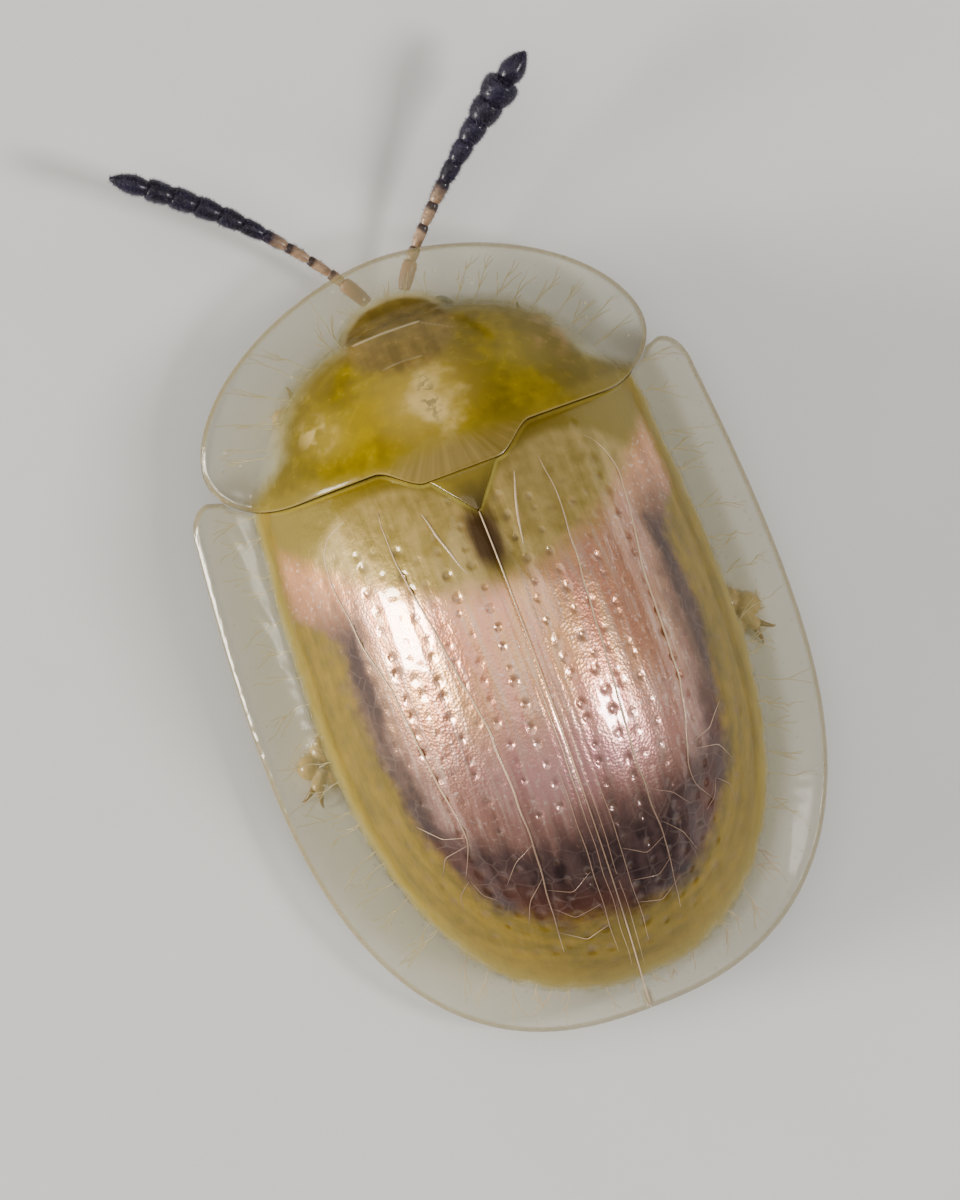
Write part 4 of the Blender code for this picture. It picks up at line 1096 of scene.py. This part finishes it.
def under_shell(x, y):
    """A height that stays clear of the shell's inner wall."""
    lowest = np.full_like(x, 9.0)
    plates = ((shield_height, shield_wall, y < 2.25), (case_height, case_wall, y > 1.55))
    for surface, wall, inside in plates:
        inner = surface(x, y) - (wall(x, y) + SHELL_GAP) * steepness(surface, x, y)
        lowest = np.where(inside, np.minimum(lowest, inner), lowest)
    return lowest


def belly_relief(x, y):
    """How far the underside rises into the body: seams, plate steps, hip hollows."""
    relief = np.zeros_like(x)
    for seam in BELLY_SEAMS:
        on_belly = seam > 3.0
        bow = seam - 0.10 * (x / TRUNK_HALF_WIDTH) ** 2 * on_belly
        relief += BELLY_SEAM_DEPTH * bell(y - bow, 0.018)
        relief += BELLY_SEAM_DEPTH * smooth_step((y - bow + 0.16) / 0.16) * (y < bow) * on_belly
    breast = (y > BREAST_SPAN[0]) & (y < BREAST_SPAN[1])
    relief += BREAST_LINE_DEPTH * bell(x, 0.014) * breast
    relief += BREAST_FOLD_DEPTH * bell(np.abs(x) - 0.30 - 0.35 * (y - 2.6), 0.03) * breast
    for hip_x, hip_y in HIPS:
        away = ((np.abs(x) - hip_x) / 0.27) ** 2 + ((y - hip_y) / 0.25) ** 2
        relief += HIP_HOLLOW * smooth_step(1.25 - away)
    edge_x = np.abs(x) / TRUNK_HALF_WIDTH
    relief += BELLY_GROOVE_DEPTH * bell(edge_x - 0.72, 0.035) * (y > BELLY_FRONT_Y)
    relief -= BELLY_SWELL * bell(edge_x - 0.36, 0.20) * (y > BELLY_FRONT_Y)
    return relief + wander(x, y, 80, 0.35) * 0.004


def underside_look(start):
    x, y, _ = start.axes()
    coarse, fine, groove = start.noise(1.8, 4.0), start.noise(11.0, 4.0), start.field("groove")
    uneven = coarse - 0.5
    middle = (x.math("ABSOLUTE") + uneven * 0.5).step(1.25, 0.45)
    breast = (y + uneven * 0.3).step(2.1, 2.6) * (y + uneven * 0.3).step(4.1, 3.5)
    colour = (coarse + fine * 0.3).step(0.45, 0.85).mix(*UNDERSIDE_AMBER)
    colour = (middle * 0.55).mix(colour, UNDERSIDE_BROWN)
    colour = (middle * breast * 0.65).mix(colour, UNDERSIDE_BREAST)
    colour = y.step(1.9, 1.6).mix(colour, UNDERSIDE_FRONT)
    # painted shade: darker the deeper the seams, plate steps and hip hollows
    colour = (groove.step(0.006, 0.034) * 0.85).mix(colour, UNDERSIDE_GROOVE_SHADE)
    points = start.cells(9.0)
    colour = (points.step(0.30, 0.12) * 0.35).mix(colour, UNDERSIDE_POINT)
    return {
        "Base Color": colour,
        "Roughness": 0.34 + fine * 0.14,
        "Normal": start.bump(points.step(0.10, 0.30) + fine * 0.3, 0.012),
        "Coat Weight": 0.5,
        "Coat Roughness": 0.15,
    }


turns = np.linspace(0.0, 2 * math.pi, TRUNK_SIDES, endpoint=False)
shares = np.sin(np.linspace(-math.pi / 2 + 0.03, math.pi / 2 - 0.03, TRUNK_RINGS))
ring_y = (TRUNK_FRONT_Y + TRUNK_END_Y) / 2 + (TRUNK_END_Y - TRUNK_FRONT_Y) / 2 * shares
size = (1.0 - np.abs(shares) ** TRUNK_POWER) ** (1 / TRUNK_POWER)
trunk_x = TRUNK_HALF_WIDTH * size[:, None] * signed_power(np.cos(turns), 0.8)[None]
trunk_y = np.repeat(ring_y[:, None], TRUNK_SIDES, axis=1)
rise = signed_power(np.sin(turns), 0.8)[None] * size[:, None] ** 0.5
relief = belly_relief(trunk_x, trunk_y)
height = np.maximum(under_shell(trunk_x, trunk_y) - TRUNK_SIDE_Z, TRUNK_LEAST_RISE)
trunk_z = TRUNK_SIDE_Z + np.where(rise > 0, height * rise, (BELLY_DEPTH - relief) * rise)


def rings_mesh(name, x, y, z, fields):
    """A closed skin over rings of points, with a fan over each end."""
    sides = x.shape[1]
    index = np.arange(x.size).reshape(x.shape)
    beside = np.roll(index, -1, axis=1)
    faces = np.stack([index[:-1], beside[:-1], beside[1:], index[1:]], 2).reshape(-1, 4).tolist()
    points = np.stack([x, y, z], 2).reshape(-1, 3)
    ends = [points[:sides].mean(axis=0), points[-sides:].mean(axis=0)]
    faces += [(beside[0, k], index[0, k], x.size) for k in range(sides)]
    faces += [(index[-1, k], beside[-1, k], x.size + 1) for k in range(sides)]
    values = {}
    for key, value in fields.items():
        values[key] = np.concatenate([value.ravel(), [value[0, 0], value[-1, 0]]])
    return finished_mesh(name, np.concatenate([points, ends]), faces, values)


hairy = 0.22 * smooth_step(-rise * 2.0) * smooth_step((0.02 - relief) / 0.02)
fields = {"groove": np.where(rise > 0, 0.0, relief), "hairy": hairy}
underside = rings_mesh("underside", trunk_x, trunk_y, trunk_z, fields)
trunk_material = make_material("underside", underside_look)
add_piece("underside", underside, trunk_material, "body_cuticle", "prothorax", "thorax", "abdomen")

# Legs.
# Six short legs, set into the breast: hip joint, thigh, shin, a foot of three flat pads, the
# last in two lobes, and a claw joint with two claws.  Each leg is one horny skin.
LEG_JOINTS = {
    "front": ((0.34, 1.50, 0.34), (1.04, 1.74, 0.37), (1.20, 1.34, 0.16), (1.04, 0.92, 0.07)),
    "middle": ((0.42, 2.75, 0.34), (1.34, 3.06, 0.37), (1.76, 3.74, 0.15), (2.08, 4.20, 0.07)),
    "hind": ((0.46, 3.36, 0.34), (1.22, 4.10, 0.37), (1.36, 4.92, 0.16), (1.30, 5.50, 0.07)),
}
THIGH_PROFILE = (0.35, 0.62, 0.86, 1.0, 0.98, 0.86, 0.70, 0.52)
SHIN_PROFILE = (0.42, 0.58, 0.70, 0.80, 0.90, 1.0, 1.0, 0.62)
PAD_SHARES = (0.07, 0.36, 0.66)
PAD_WIDTHS = (0.25, 0.31, 0.22)
HIP_RADII = (0.215, 0.165, 0.15)
HIP_LIFTS = (0.0, 0.08, 0.16)
TROCHANTER_RADIUS = 0.10
THIGH_RADIUS = 0.18
SHIN_RADIUS = 0.128
PAD_HEIGHT = 0.06
CLAW_JOINT_HEIGHT = 0.13
CLAW_JOINT_RADIUS = 0.062
CLAW_JOINT_PROFILE = (0.6, 0.7, 0.8, 1.0, 0.9)
CLAW_RADIUS = 0.030
CLAW_LENGTH = 0.14
CLAW_DROP = 0.085
CLAW_LOWEST = 0.014
LEG_GRAIN = 0.014
LEG_AMBER = ((0.46, 0.30, 0.045), (0.60, 0.44, 0.10))
LEG_JOINT_BROWN = (0.20, 0.10, 0.025)
LEG_HIP_BROWN = (0.22, 0.125, 0.030)
LEG_FOOT = (0.62, 0.43, 0.21)
CLAW_BROWN = ((0.15, 0.070, 0.020), (0.28, 0.14, 0.045))


def limb(start, end, profile, radius, flat=1.0, bow=0.0):
    """A bar between two joints whose thickness follows a profile, with rounded ends."""
    start, end = np.array(start), np.array(end)
    shares = np.linspace(0.0, 1.0, 36)
    path = start + shares[:, None] * (end - start)
    path[:, 2] += bow * np.sin(shares * math.pi)
    width = np.interp(shares, np.linspace(0.0, 1.0, len(profile)), profile)
    width = np.convolve(np.pad(width, 2, mode="edge"), np.ones(5) / 5, mode="valid")
    ends = np.sqrt(np.clip(1.0 - (1.0 - np.minimum(shares, 1.0 - shares) / 0.06) ** 2, 0.02, 1.0))
    ends = np.where(np.minimum(shares, 1.0 - shares) > 0.06, 1.0, ends)
    return swept(path, radius * width * ends, 20, flat)


def ellipsoid(centre, radii, heading=0.0, sides=24):
    """A rounded body whose first radius points along its heading."""
    turns = np.linspace(-math.pi / 2 + 0.05, math.pi / 2 - 0.05, 15)
    ahead = np.array([math.cos(heading), math.sin(heading), 0.0])
    path = np.array(centre) + np.sin(turns)[:, None] * radii[0] * ahead
    return swept(path, radii[1] * np.cos(turns), sides, radii[2] / radii[1])


def fused(shapes, grain, rounds):
    """One skin over overlapping closed shapes: (points, faces), still in millimetres."""
    points, faces = joined(shapes)
    mesh = bpy.data.meshes.new("shapes")
    mesh.from_pydata(points.tolist(), [], faces)
    maker = bpy.data.objects.new("shapes", mesh)
    bpy.context.scene.collection.objects.link(maker)
    skin = maker.modifiers.new("skin", "REMESH")
    skin.mode = "VOXEL"
    skin.voxel_size = grain
    soften = maker.modifiers.new("soften", "SMOOTH")
    soften.factor = 0.5
    soften.iterations = rounds
    bpy.context.view_layer.update()
    made = bpy.data.meshes.new_from_object(maker.evaluated_get(bpy.context.evaluated_depsgraph_get()))
    verts = np.zeros(len(made.vertices) * 3)
    made.vertices.foreach_get("co", verts)
    polygons = [tuple(face.vertices) for face in made.polygons]
    bpy.data.objects.remove(maker, do_unlink=True)
    return verts.reshape(-1, 3), polygons


def leg_shapes(pair):
    """Overlapping shapes of the left leg: hip, thigh, shin, the pads of the foot, claw joint."""
    hip, knee, ankle, tip = (np.array(joint) for joint in LEG_JOINTS[pair])
    heading = math.atan2(*(tip - ankle)[1::-1])
    length = np.linalg.norm((tip - ankle)[:2])
    across = np.array([-math.sin(heading), math.cos(heading), 0.0])
    hip_heading = math.atan2(*(knee - hip)[1::-1]) * 0.7
    shapes = []
    for lift in HIP_LIFTS:
        radii = (HIP_RADII[0] - lift / 4, HIP_RADII[1] - lift / 5, HIP_RADII[2])
        shapes.append(ellipsoid(hip + (0.0, 0.0, lift), radii, hip_heading))
    shapes.append(ellipsoid(hip + (knee - hip) * 0.26, (TROCHANTER_RADIUS,) * 3))
    thigh_start = hip + (knee - hip) * 0.12
    shapes.append(limb(thigh_start, knee, THIGH_PROFILE, THIGH_RADIUS, 0.86, 0.01))
    shapes.append(limb(knee, ankle + (0.0, 0.0, 0.01), SHIN_PROFILE, SHIN_RADIUS, 0.85, 0.015))
    for share, width in zip(PAD_SHARES, PAD_WIDTHS):
        place = ankle + (tip - ankle) * share
        place[2] = PAD_HEIGHT
        lobes = (-0.11, 0.11) if share == PAD_SHARES[-1] else (0.0,)
        for lobe in lobes:
            radii = (length * 0.21, width / 2, 0.10)
            shapes.append(ellipsoid(place + across * lobe, radii, heading + lobe * 1.6))
    claw_joint = ankle + (tip - ankle) * 0.62
    claw_joint[2] = CLAW_JOINT_HEIGHT
    end = tip + (0.0, 0.0, 0.02)
    shapes.append(limb(claw_joint, end, CLAW_JOINT_PROFILE, CLAW_JOINT_RADIUS))
    return shapes


def along_leg(points, pair):
    """How far down its leg each point is: 0 at the hip, 1 knee, 2 ankle, 3 tip."""
    joints = np.array(LEG_JOINTS[pair])
    best, place = np.full(len(points), 9.0), np.zeros(len(points))
    for number, (start, end) in enumerate(zip(joints, joints[1:])):
        step = end - start
        share = np.clip((points - start) @ step / (step @ step), 0.0, 1.0)
        away = np.linalg.norm(points - start - share[:, None] * step, axis=1)
        place = np.where(away < best, number + share, place)
        best = np.minimum(best, away)
    return place


def leg_look(start):
    down = start.field("down")
    coarse, fine = start.noise(3.0, 4.0), start.noise(16.0, 4.0)
    from_joint = (down - (down + 0.5).math("FLOOR")).math("ABSOLUTE")
    joint = from_joint.step(0.16, 0.03) * down.step(0.5, 0.7)
    colour = (coarse + fine * 0.3).step(0.45, 0.85).mix(*LEG_AMBER)
    colour = (joint * 0.55).mix(colour, LEG_JOINT_BROWN)
    colour = (down.step(0.34, 0.04) * 0.60).mix(colour, LEG_HIP_BROWN)
    colour = (down.step(1.9, 2.4) * 0.7).mix(colour, LEG_FOOT)
    return {
        "Base Color": colour,
        "Roughness": 0.36 + fine * 0.12,
        "Normal": start.bump(start.noise(30.0, 3.0), 0.004),
        "Coat Weight": 0.6,
        "Coat Roughness": 0.12,
    }


def claw_mesh(name, pairs_sides):
    """Two hooked claws at the end of each foot."""
    shapes = []
    for pair, side in pairs_sides:
        _, _, ankle, tip = (np.array(joint) for joint in LEG_JOINTS[pair])
        ahead = (tip - ankle) * (1.0, 1.0, 0.0)
        ahead /= np.linalg.norm(ahead)
        across = np.array([-ahead[1], ahead[0], 0.0])
        for lobe in (-1, 1):
            bend = np.linspace(0.0, 1.0, 12)[:, None]
            path = tip + (0.0, 0.0, 0.03) + ahead * (CLAW_LENGTH * np.sin(bend * 1.5)) - ahead * 0.02
            path = path + across * lobe * (0.03 + 0.07 * bend)
            path[:, 2] = np.maximum(path[:, 2] - CLAW_DROP * bend[:, 0] ** 2, CLAW_LOWEST)
            radii = CLAW_RADIUS * (1.0 - 0.85 * bend[:, 0])
            shapes.append(swept(path * (side, 1.0, 1.0), radii, 10))
    return finished_mesh(name, *joined(shapes), {})


def claw_look(start):
    fine = start.noise(20.0, 3.0)
    return {"Base Color": fine.mix(*CLAW_BROWN), "Roughness": 0.25, "Coat Weight": 0.8}


leg_material = make_material("leg", leg_look)
leg_skins = {}
for pair in LEG_JOINTS:
    points, faces = fused(leg_shapes(pair), LEG_GRAIN, 3)
    points[:, 2] = np.maximum(points[:, 2], 0.0)
    down = along_leg(points, pair)
    fields = {"down": down, "hairy": smooth_step((down - 1.3) / 0.7)}
    skin = finished_mesh(f"leg_{pair}_left_skin", points, faces, fields)
    leg_skins[f"leg_{pair}_left"] = skin
    leg_skins[f"leg_{pair}_right"] = mirrored(skin, f"leg_{pair}_right_skin")
for node, skin in leg_skins.items():
    add_piece(node + "_skin", skin, leg_material, "leg_cuticle", node)
claws = claw_mesh("claws", [(pair, side) for pair in LEG_JOINTS for side in (1, -1)])
add_piece("claws", claws, make_material("claw", claw_look), "leg_cuticle")

# Head.
# Hangs face down under the shield: a flat capsule with a raised face plate, feeler sockets
# close together in front, upper lip, two jaws and four short mouth feelers.
HEAD_BODIES = (
    ((0.0, 0.72, 0.39), (0.27, 0.46, 0.20), 40),
    ((0.0, 0.60, 0.34), (0.17, 0.30, 0.19), 32),
    ((0.0, 0.78, 0.24), (0.15, 0.22, 0.11), 28),
    ((0.0, 0.88, 0.20), (0.07, 0.15, 0.06), 24),
)
FEELER_SOCKET = (0.17, 0.46, 0.33)
FEELER_SOCKET_RADII = (0.07, 0.085, 0.085)
JAW = ((0.12, 0.84, 0.20), (0.11, 0.90, 0.15), (0.06, 0.94, 0.12), (0.015, 0.95, 0.12))
JAW_RADII = (0.06, 0.018)
OUTER_PALP = ((0.18, 0.86, 0.22), (0.23, 0.93, 0.17), (0.20, 1.00, 0.13), (0.15, 1.03, 0.10))
OUTER_PALP_RADIUS = 0.036
INNER_PALP = ((0.06, 0.92, 0.20), (0.08, 0.99, 0.16), (0.05, 1.03, 0.12))
INNER_PALP_RADII = (0.030, 0.020)
HEAD_GRAIN = 0.009
FACE_GROOVE_DEPTH = 0.014
EYE_PLACE = (0.42, 0.68, 0.38)
EYE_RADII = (0.14, 0.19, 0.16)
EYE_GAP = 0.02
HEAD_AMBER = ((0.42, 0.27, 0.06), (0.58, 0.42, 0.13))
HEAD_CROWN = (0.30, 0.19, 0.075)
HEAD_MOUTH = (0.12, 0.055, 0.018)


def head_shapes():
    """Overlapping shapes of the head: capsule, face, mouth and upper lip, then what is in pairs."""
    shapes = [ellipsoid(place, radii, math.pi / 2, sides) for place, radii, sides in HEAD_BODIES]
    for side in (-1, 1):
        mirror = (side, 1, 1)
        shapes.append(ellipsoid(np.array(FEELER_SOCKET) * mirror, FEELER_SOCKET_RADII, math.pi / 2))
        jaw = resample(np.array(JAW) * mirror, np.linspace(0, 1, 14))
        shapes.append(swept(jaw, np.linspace(*JAW_RADII, 14), 14))
        palp = resample(np.array(OUTER_PALP) * mirror, np.linspace(0, 1, 26))
        beads = OUTER_PALP_RADIUS * (1.0 + 0.25 * np.cos(np.linspace(0.0, 6 * math.pi, 26)))
        shapes.append(swept(palp, beads, 12))
        palp = resample(np.array(INNER_PALP) * mirror, np.linspace(0, 1, 16))
        shapes.append(swept(palp, np.linspace(*INNER_PALP_RADII, 16), 10))
    return shapes


def head_look(start):
    _, y, z = start.axes()
    coarse, fine = start.noise(3.0, 4.0), start.noise(14.0, 4.0)
    mouth = (y + (coarse - 0.5) * 0.1).step(0.84, 0.95)
    crown = (z + (coarse - 0.5) * 0.1).step(0.40, 0.56)
    colour = (coarse + fine * 0.3).step(0.45, 0.85).mix(*HEAD_AMBER)
    colour = (crown * 0.6).mix(colour, HEAD_CROWN)
    colour = (mouth * 0.75).mix(colour, HEAD_MOUTH)
    return {
        "Base Color": colour,
        "Roughness": 0.34 + fine * 0.12,
        "Normal": start.bump(start.noise(26.0, 3.0), 0.004),
        "Coat Weight": 0.6,
        "Coat Roughness": 0.12,
    }


points, faces = fused(head_shapes(), HEAD_GRAIN, 3)
hollow = np.array(EYE_RADII) + EYE_GAP
for side in (-1, 1):
    away = (points - np.array(EYE_PLACE) * (side, 1, 1)) / hollow
    inside = (away**2).sum(axis=1) < 1.0
    depth = np.sqrt(np.clip(1.0 - away[:, 1] ** 2 - away[:, 2] ** 2, 0.0, 1.0)) * hollow[0]
    points[inside, 0] = side * (EYE_PLACE[0] - depth[inside])
x, y, z = points.T
groove = bell(np.abs(x) - 0.06 - 0.40 * (y - 0.44), 0.012) * smooth_step((0.36 - z) / 0.05)
points[:, 2] += FACE_GROOVE_DEPTH * groove
head_mesh = finished_mesh("head_skin", points, faces, {"hairy": smooth_step((y - 0.75) / 0.1)})
add_piece("head_skin", head_mesh, make_material("head", head_look), "body_cuticle", "head")

# Eyes.
# Two compound eyes, black and domed, let into hollows at the sides of the head.  Each is made
# of hundreds of small glossy facets.
EYE_FACET_COUNT = 42.0
EYE_SEAM = (0.004, 0.003, 0.003)
EYE_FACET = (0.035, 0.018, 0.014)


def eye_look(start):
    lens = start.cells(EYE_FACET_COUNT, uneven=0.25, feature="DISTANCE_TO_EDGE").step(0.0, 0.30)
    return {
        "Base Color": lens.mix(EYE_SEAM, EYE_FACET),
        "Roughness": 0.16,
        "Normal": start.bump(lens, 0.006),
        "Coat Weight": 1.0,
        "Coat Roughness": 0.05,
    }


eye_material = make_material("eye", eye_look)
eye_radii = (EYE_RADII[1], EYE_RADII[0], EYE_RADII[2])
for side, name in ((1, "eye_left"), (-1, "eye_right")):
    verts, faces = ellipsoid(np.array(EYE_PLACE) * (side, 1, 1), eye_radii, math.pi / 2, 60)
    eye_mesh = finished_mesh(name + "_facets", verts, faces, {})
    add_piece(name + "_facets", eye_mesh, eye_material, "eye", name)

# Feelers.
# Eleven joints each, held in the sockets of the face: the first pale and thick, the next four
# slim and pale with dark rings, the last six a blue-black downy club.
FEELER_RADIUS = 0.096
FEELER_LENGTHS = (1.25, 0.6, 1.0, 1.0, 1.0, 0.9, 0.95, 1.0, 1.0, 1.0, 1.5)
FEELER_WIDTHS = {
    "antenna_left": (0.70, 0.52, 0.48, 0.50, 0.59, 0.73, 0.86, 0.95, 1.0, 1.0, 0.90),
    "antenna_right": (0.70, 0.55, 0.52, 0.55, 0.63, 0.75, 0.87, 1.04, 1.36, 1.62, 1.10),
}
FEELER_JOINT = (
    (0.0, 0.66), (0.05, 0.78), (0.25, 0.92), (0.60, 1.0),
    (0.86, 0.98), (0.96, 0.86), (1.0, 0.66),
)
FEELER_TIP = (
    (0.0, 0.66), (0.06, 0.80), (0.25, 0.99), (0.42, 1.0),
    (0.70, 0.72), (0.90, 0.36), (1.0, 0.08),
)
FEELER_ROOT = (0.17, 0.34, 0.33)
FEELER_PATHS = {
    "antenna_left": (1, FEELER_ROOT, (0.40, -0.10, 0.34), (0.95, -0.80, 0.60), (1.93, -1.45, 0.80)),
    "antenna_right": (-1, FEELER_ROOT, (0.45, -0.15, 0.34), (1.15, -0.75, 0.60), (1.87, -1.23, 0.80)),
}
FEELER_SIDES = 26
FEELER_PALE = ((0.34, 0.21, 0.12), (0.54, 0.38, 0.25))
FEELER_FIRST = (0.46, 0.23, 0.12)
FEELER_RING = (0.022, 0.011, 0.012)
FEELER_BLUE = ((0.004, 0.003, 0.008), (0.016, 0.011, 0.040))
FEELER_GLINT = (0.16, 0.12, 0.20)
FEELER_JOINT_END = (0.002, 0.002, 0.003)


def feeler_mesh(name, widths, side, path):
    """One closed skin along a curve, waisted between the joints and pointed at the tip."""
    a, b, c, d = (np.array(point) for point in path)
    t = np.linspace(0.0, 1.0, 200)[:, None]
    curve = (1 - t) ** 3 * a + 3 * (1 - t) ** 2 * t * b + 3 * (1 - t) * t**2 * c + t**3 * d
    lengths = np.array(FEELER_LENGTHS) / sum(FEELER_LENGTHS)
    starts = np.cumsum(lengths) - lengths
    inside = np.concatenate([np.linspace(0.0, 0.94, 17), [0.96, 0.98, 0.992]])
    shares, radii, joints = [], [], []
    for index, width in enumerate(widths):
        shape = np.array(FEELER_TIP if index == len(widths) - 1 else FEELER_JOINT)
        swell = np.interp(inside, shape[:, 0], shape[:, 1])
        shares += (starts[index] + lengths[index] * inside).tolist()
        radii += (FEELER_RADIUS * width * swell).tolist()
        joints += (index + inside).tolist()
    points = resample(curve, np.array(shares)) * (side, 1.0, 1.0)
    verts, faces = swept(points, radii, FEELER_SIDES)
    place = np.concatenate([np.repeat(joints, FEELER_SIDES), [0.0, len(widths)]])
    club = smooth_step((place - 2.0) / 4.0)
    return finished_mesh(name, verts, faces, {"joint": place, "hairy": 0.12 + 0.88 * club})


def feeler_look(start):
    joint = start.field("joint")
    coarse, fine = start.noise(6.0, 4.0), start.noise(22.0, 4.0)
    inside = joint.math("FRACT")
    club = (joint + (coarse - 0.5) * 0.4).step(4.0, 5.2)
    ring = (inside + (coarse - 0.5) * 0.3).step(0.60, 0.80) * joint.step(1.2, 2.2)
    colour = fine.mix(*FEELER_PALE)
    colour = (joint.step(1.3, 0.7) * 0.8).mix(colour, FEELER_FIRST)
    colour = (ring * 0.9).mix(colour, FEELER_RING)
    blue = (coarse + fine * 0.4).step(0.5, 0.9).mix(*FEELER_BLUE)
    blue = (start.noise(34.0, 2.0).step(0.60, 0.70) * 0.5).mix(blue, FEELER_GLINT)
    blue = (inside.step(0.93, 1.0) * 0.6).mix(blue, FEELER_JOINT_END)
    return {
        "Base Color": club.mix(colour, blue),
        "Alpha": 1.0 - joint.step(1.1, 0.1) * 0.4,
        "Roughness": 0.40 + fine * 0.2,
        "Normal": start.bump(fine + start.noise(40.0, 2.0), 0.006),
        "Coat Weight": 0.5,
        "Coat Roughness": 0.2,
    }


feeler_material = make_material("feeler", feeler_look)
feeler_skins = {}
for node, (side, *path) in FEELER_PATHS.items():
    feeler_skins[node] = feeler_mesh(node + "_skin", FEELER_WIDTHS[node], side, path)
    add_piece(node + "_skin", feeler_skins[node], feeler_material, "feeler", node)

# Hairs.
# Short stiff hairs: a silvery down on the clubs of the feelers, sparse ones under the body,
# and longer ones on shins and foot pads.  One rule grows them all; its lengths are metres.
FEELER_DOWN = {"Per Square Metre": 5.5e9, "Length": 3.2e-5, "Thickness": 1.8e-6}
BODY_HAIRS = {"Per Square Metre": 5.0e8, "Length": 9e-5, "Thickness": 3.0e-6}
LEG_HAIRS = {"Per Square Metre": 5.0e8, "Length": 8e-5, "Thickness": 3.4e-6}
HAIR_LEAN = ((-0.9, -0.9, 0.0), (0.9, 0.9, 6.3))
HAIR_SIZES = (0.6, 1.15)
DOWN_SILVER = ((0.05, 0.042, 0.075), (0.20, 0.17, 0.24))
HAIR_STRAW = ((0.44, 0.32, 0.12), (0.70, 0.56, 0.30))


def hair_tree():
    """Tapered hairs over a skin, as many as its field named hairy says, leaning along the skin."""
    tree = bpy.data.node_groups.new("hairs", "GeometryNodeTree")
    sockets = {
        "Skin": "NodeSocketGeometry",
        "Per Square Metre": "NodeSocketFloat",
        "Length": "NodeSocketFloat",
        "Thickness": "NodeSocketFloat",
        "Seed": "NodeSocketInt",
        "Finish": "NodeSocketMaterial",
    }
    for name, kind in sockets.items():
        tree.interface.new_socket(name, in_out="INPUT", socket_type=kind)
    tree.interface.new_socket("Hairs", in_out="OUTPUT", socket_type="NodeSocketGeometry")

    def node(kind, inputs=(), **settings):
        made = tree.nodes.new(kind)
        for key, setting in settings.items():
            setattr(made, key, setting)
        for key, value in dict(inputs).items():
            if isinstance(value, bpy.types.NodeSocket):
                tree.links.new(value, made.inputs[key])
            else:
                made.inputs[key].default_value = value
        return made

    given = node("NodeGroupInput").outputs
    skin, seed = given["Skin"], given["Seed"]
    hairy = node("GeometryNodeInputNamedAttribute", {"Name": "hairy"}, data_type="FLOAT").outputs[0]
    density = node("ShaderNodeMath", {0: hairy, 1: given["Per Square Metre"]}, operation="MULTIPLY")
    spread = node(
        "GeometryNodeDistributePointsOnFaces",
        {"Mesh": skin, "Density": density.outputs[0], "Seed": seed},
    ).outputs
    hair = node(
        "GeometryNodeMeshCone",
        {"Vertices": 4, "Radius Top": 0.0, "Radius Bottom": given["Thickness"], "Depth": given["Length"]},
        fill_type="NONE",
    ).outputs["Mesh"]
    lean = node(
        "FunctionNodeRandomValue",
        {0: HAIR_LEAN[0], 1: HAIR_LEAN[1], "Seed": seed},
        data_type="FLOAT_VECTOR",
    ).outputs[0]
    lean = node("FunctionNodeEulerToRotation", {0: lean}).outputs[0]
    turned = node(
        "FunctionNodeRotateRotation",
        {0: spread["Rotation"], 1: lean},
        rotation_space="LOCAL",
    ).outputs[0]
    size = node(
        "FunctionNodeRandomValue",
        {2: HAIR_SIZES[0], 3: HAIR_SIZES[1], "Seed": seed},
        data_type="FLOAT",
    ).outputs[1]
    placed = node(
        "GeometryNodeInstanceOnPoints",
        {"Points": spread["Points"], "Instance": hair, "Rotation": turned, "Scale": size},
    ).outputs[0]
    real = node("GeometryNodeRealizeInstances", {0: placed}).outputs[0]
    finished = node("GeometryNodeSetMaterial", {"Geometry": real, "Material": given["Finish"]}).outputs[0]
    tree.links.new(finished, node("NodeGroupOutput").inputs[0])
    return tree


def down_look(start):
    return {"Base Color": start.noise(30.0, 2.0).mix(*DOWN_SILVER), "Roughness": 0.35}


def hair_look(start):
    return {"Base Color": start.noise(30.0, 2.0).mix(*HAIR_STRAW), "Roughness": 0.4}


def add_hairs(name, skin, slot, kind, seed, finish):
    """Grows one kind of hair over a skin and adds the hairs as a piece of their own."""
    values = {**kind, "Seed": seed, "Finish": finish}
    maker = bpy.data.objects.new(name + "_maker", skin.copy())
    bpy.context.scene.collection.objects.link(maker)
    grower = maker.modifiers.new("hairs", "NODES")
    grower.node_group = HAIR_TREE
    for item in HAIR_TREE.interface.items_tree:
        if item.in_out == "INPUT" and item.name in values:
            grower[item.identifier] = values[item.name]
    bpy.context.view_layer.update()
    grown = maker.evaluated_get(bpy.context.evaluated_depsgraph_get())
    made = bpy.data.meshes.new_from_object(grown)
    bpy.data.objects.remove(maker, do_unlink=True)
    made.name = name
    for point in made.vertices:
        point.co.z = max(point.co.z, 1e-6)
    add_piece(name, made, finish, slot)


HAIR_TREE = hair_tree()
down_material = make_material("feeler_down", down_look)
hair_material = make_material("leg_hairs", hair_look)
for seed, (node, skin) in enumerate(feeler_skins.items()):
    add_hairs(node + "_down", skin, "feeler", FEELER_DOWN, 3 + seed, down_material)
add_hairs("underside_hairs", underside, "body_cuticle", BODY_HAIRS, 11, hair_material)
for seed, (node, skin) in enumerate(leg_skins.items()):
    add_hairs(node + "_hairs", skin, "leg_cuticle", LEG_HAIRS, 20 + seed, hair_material)
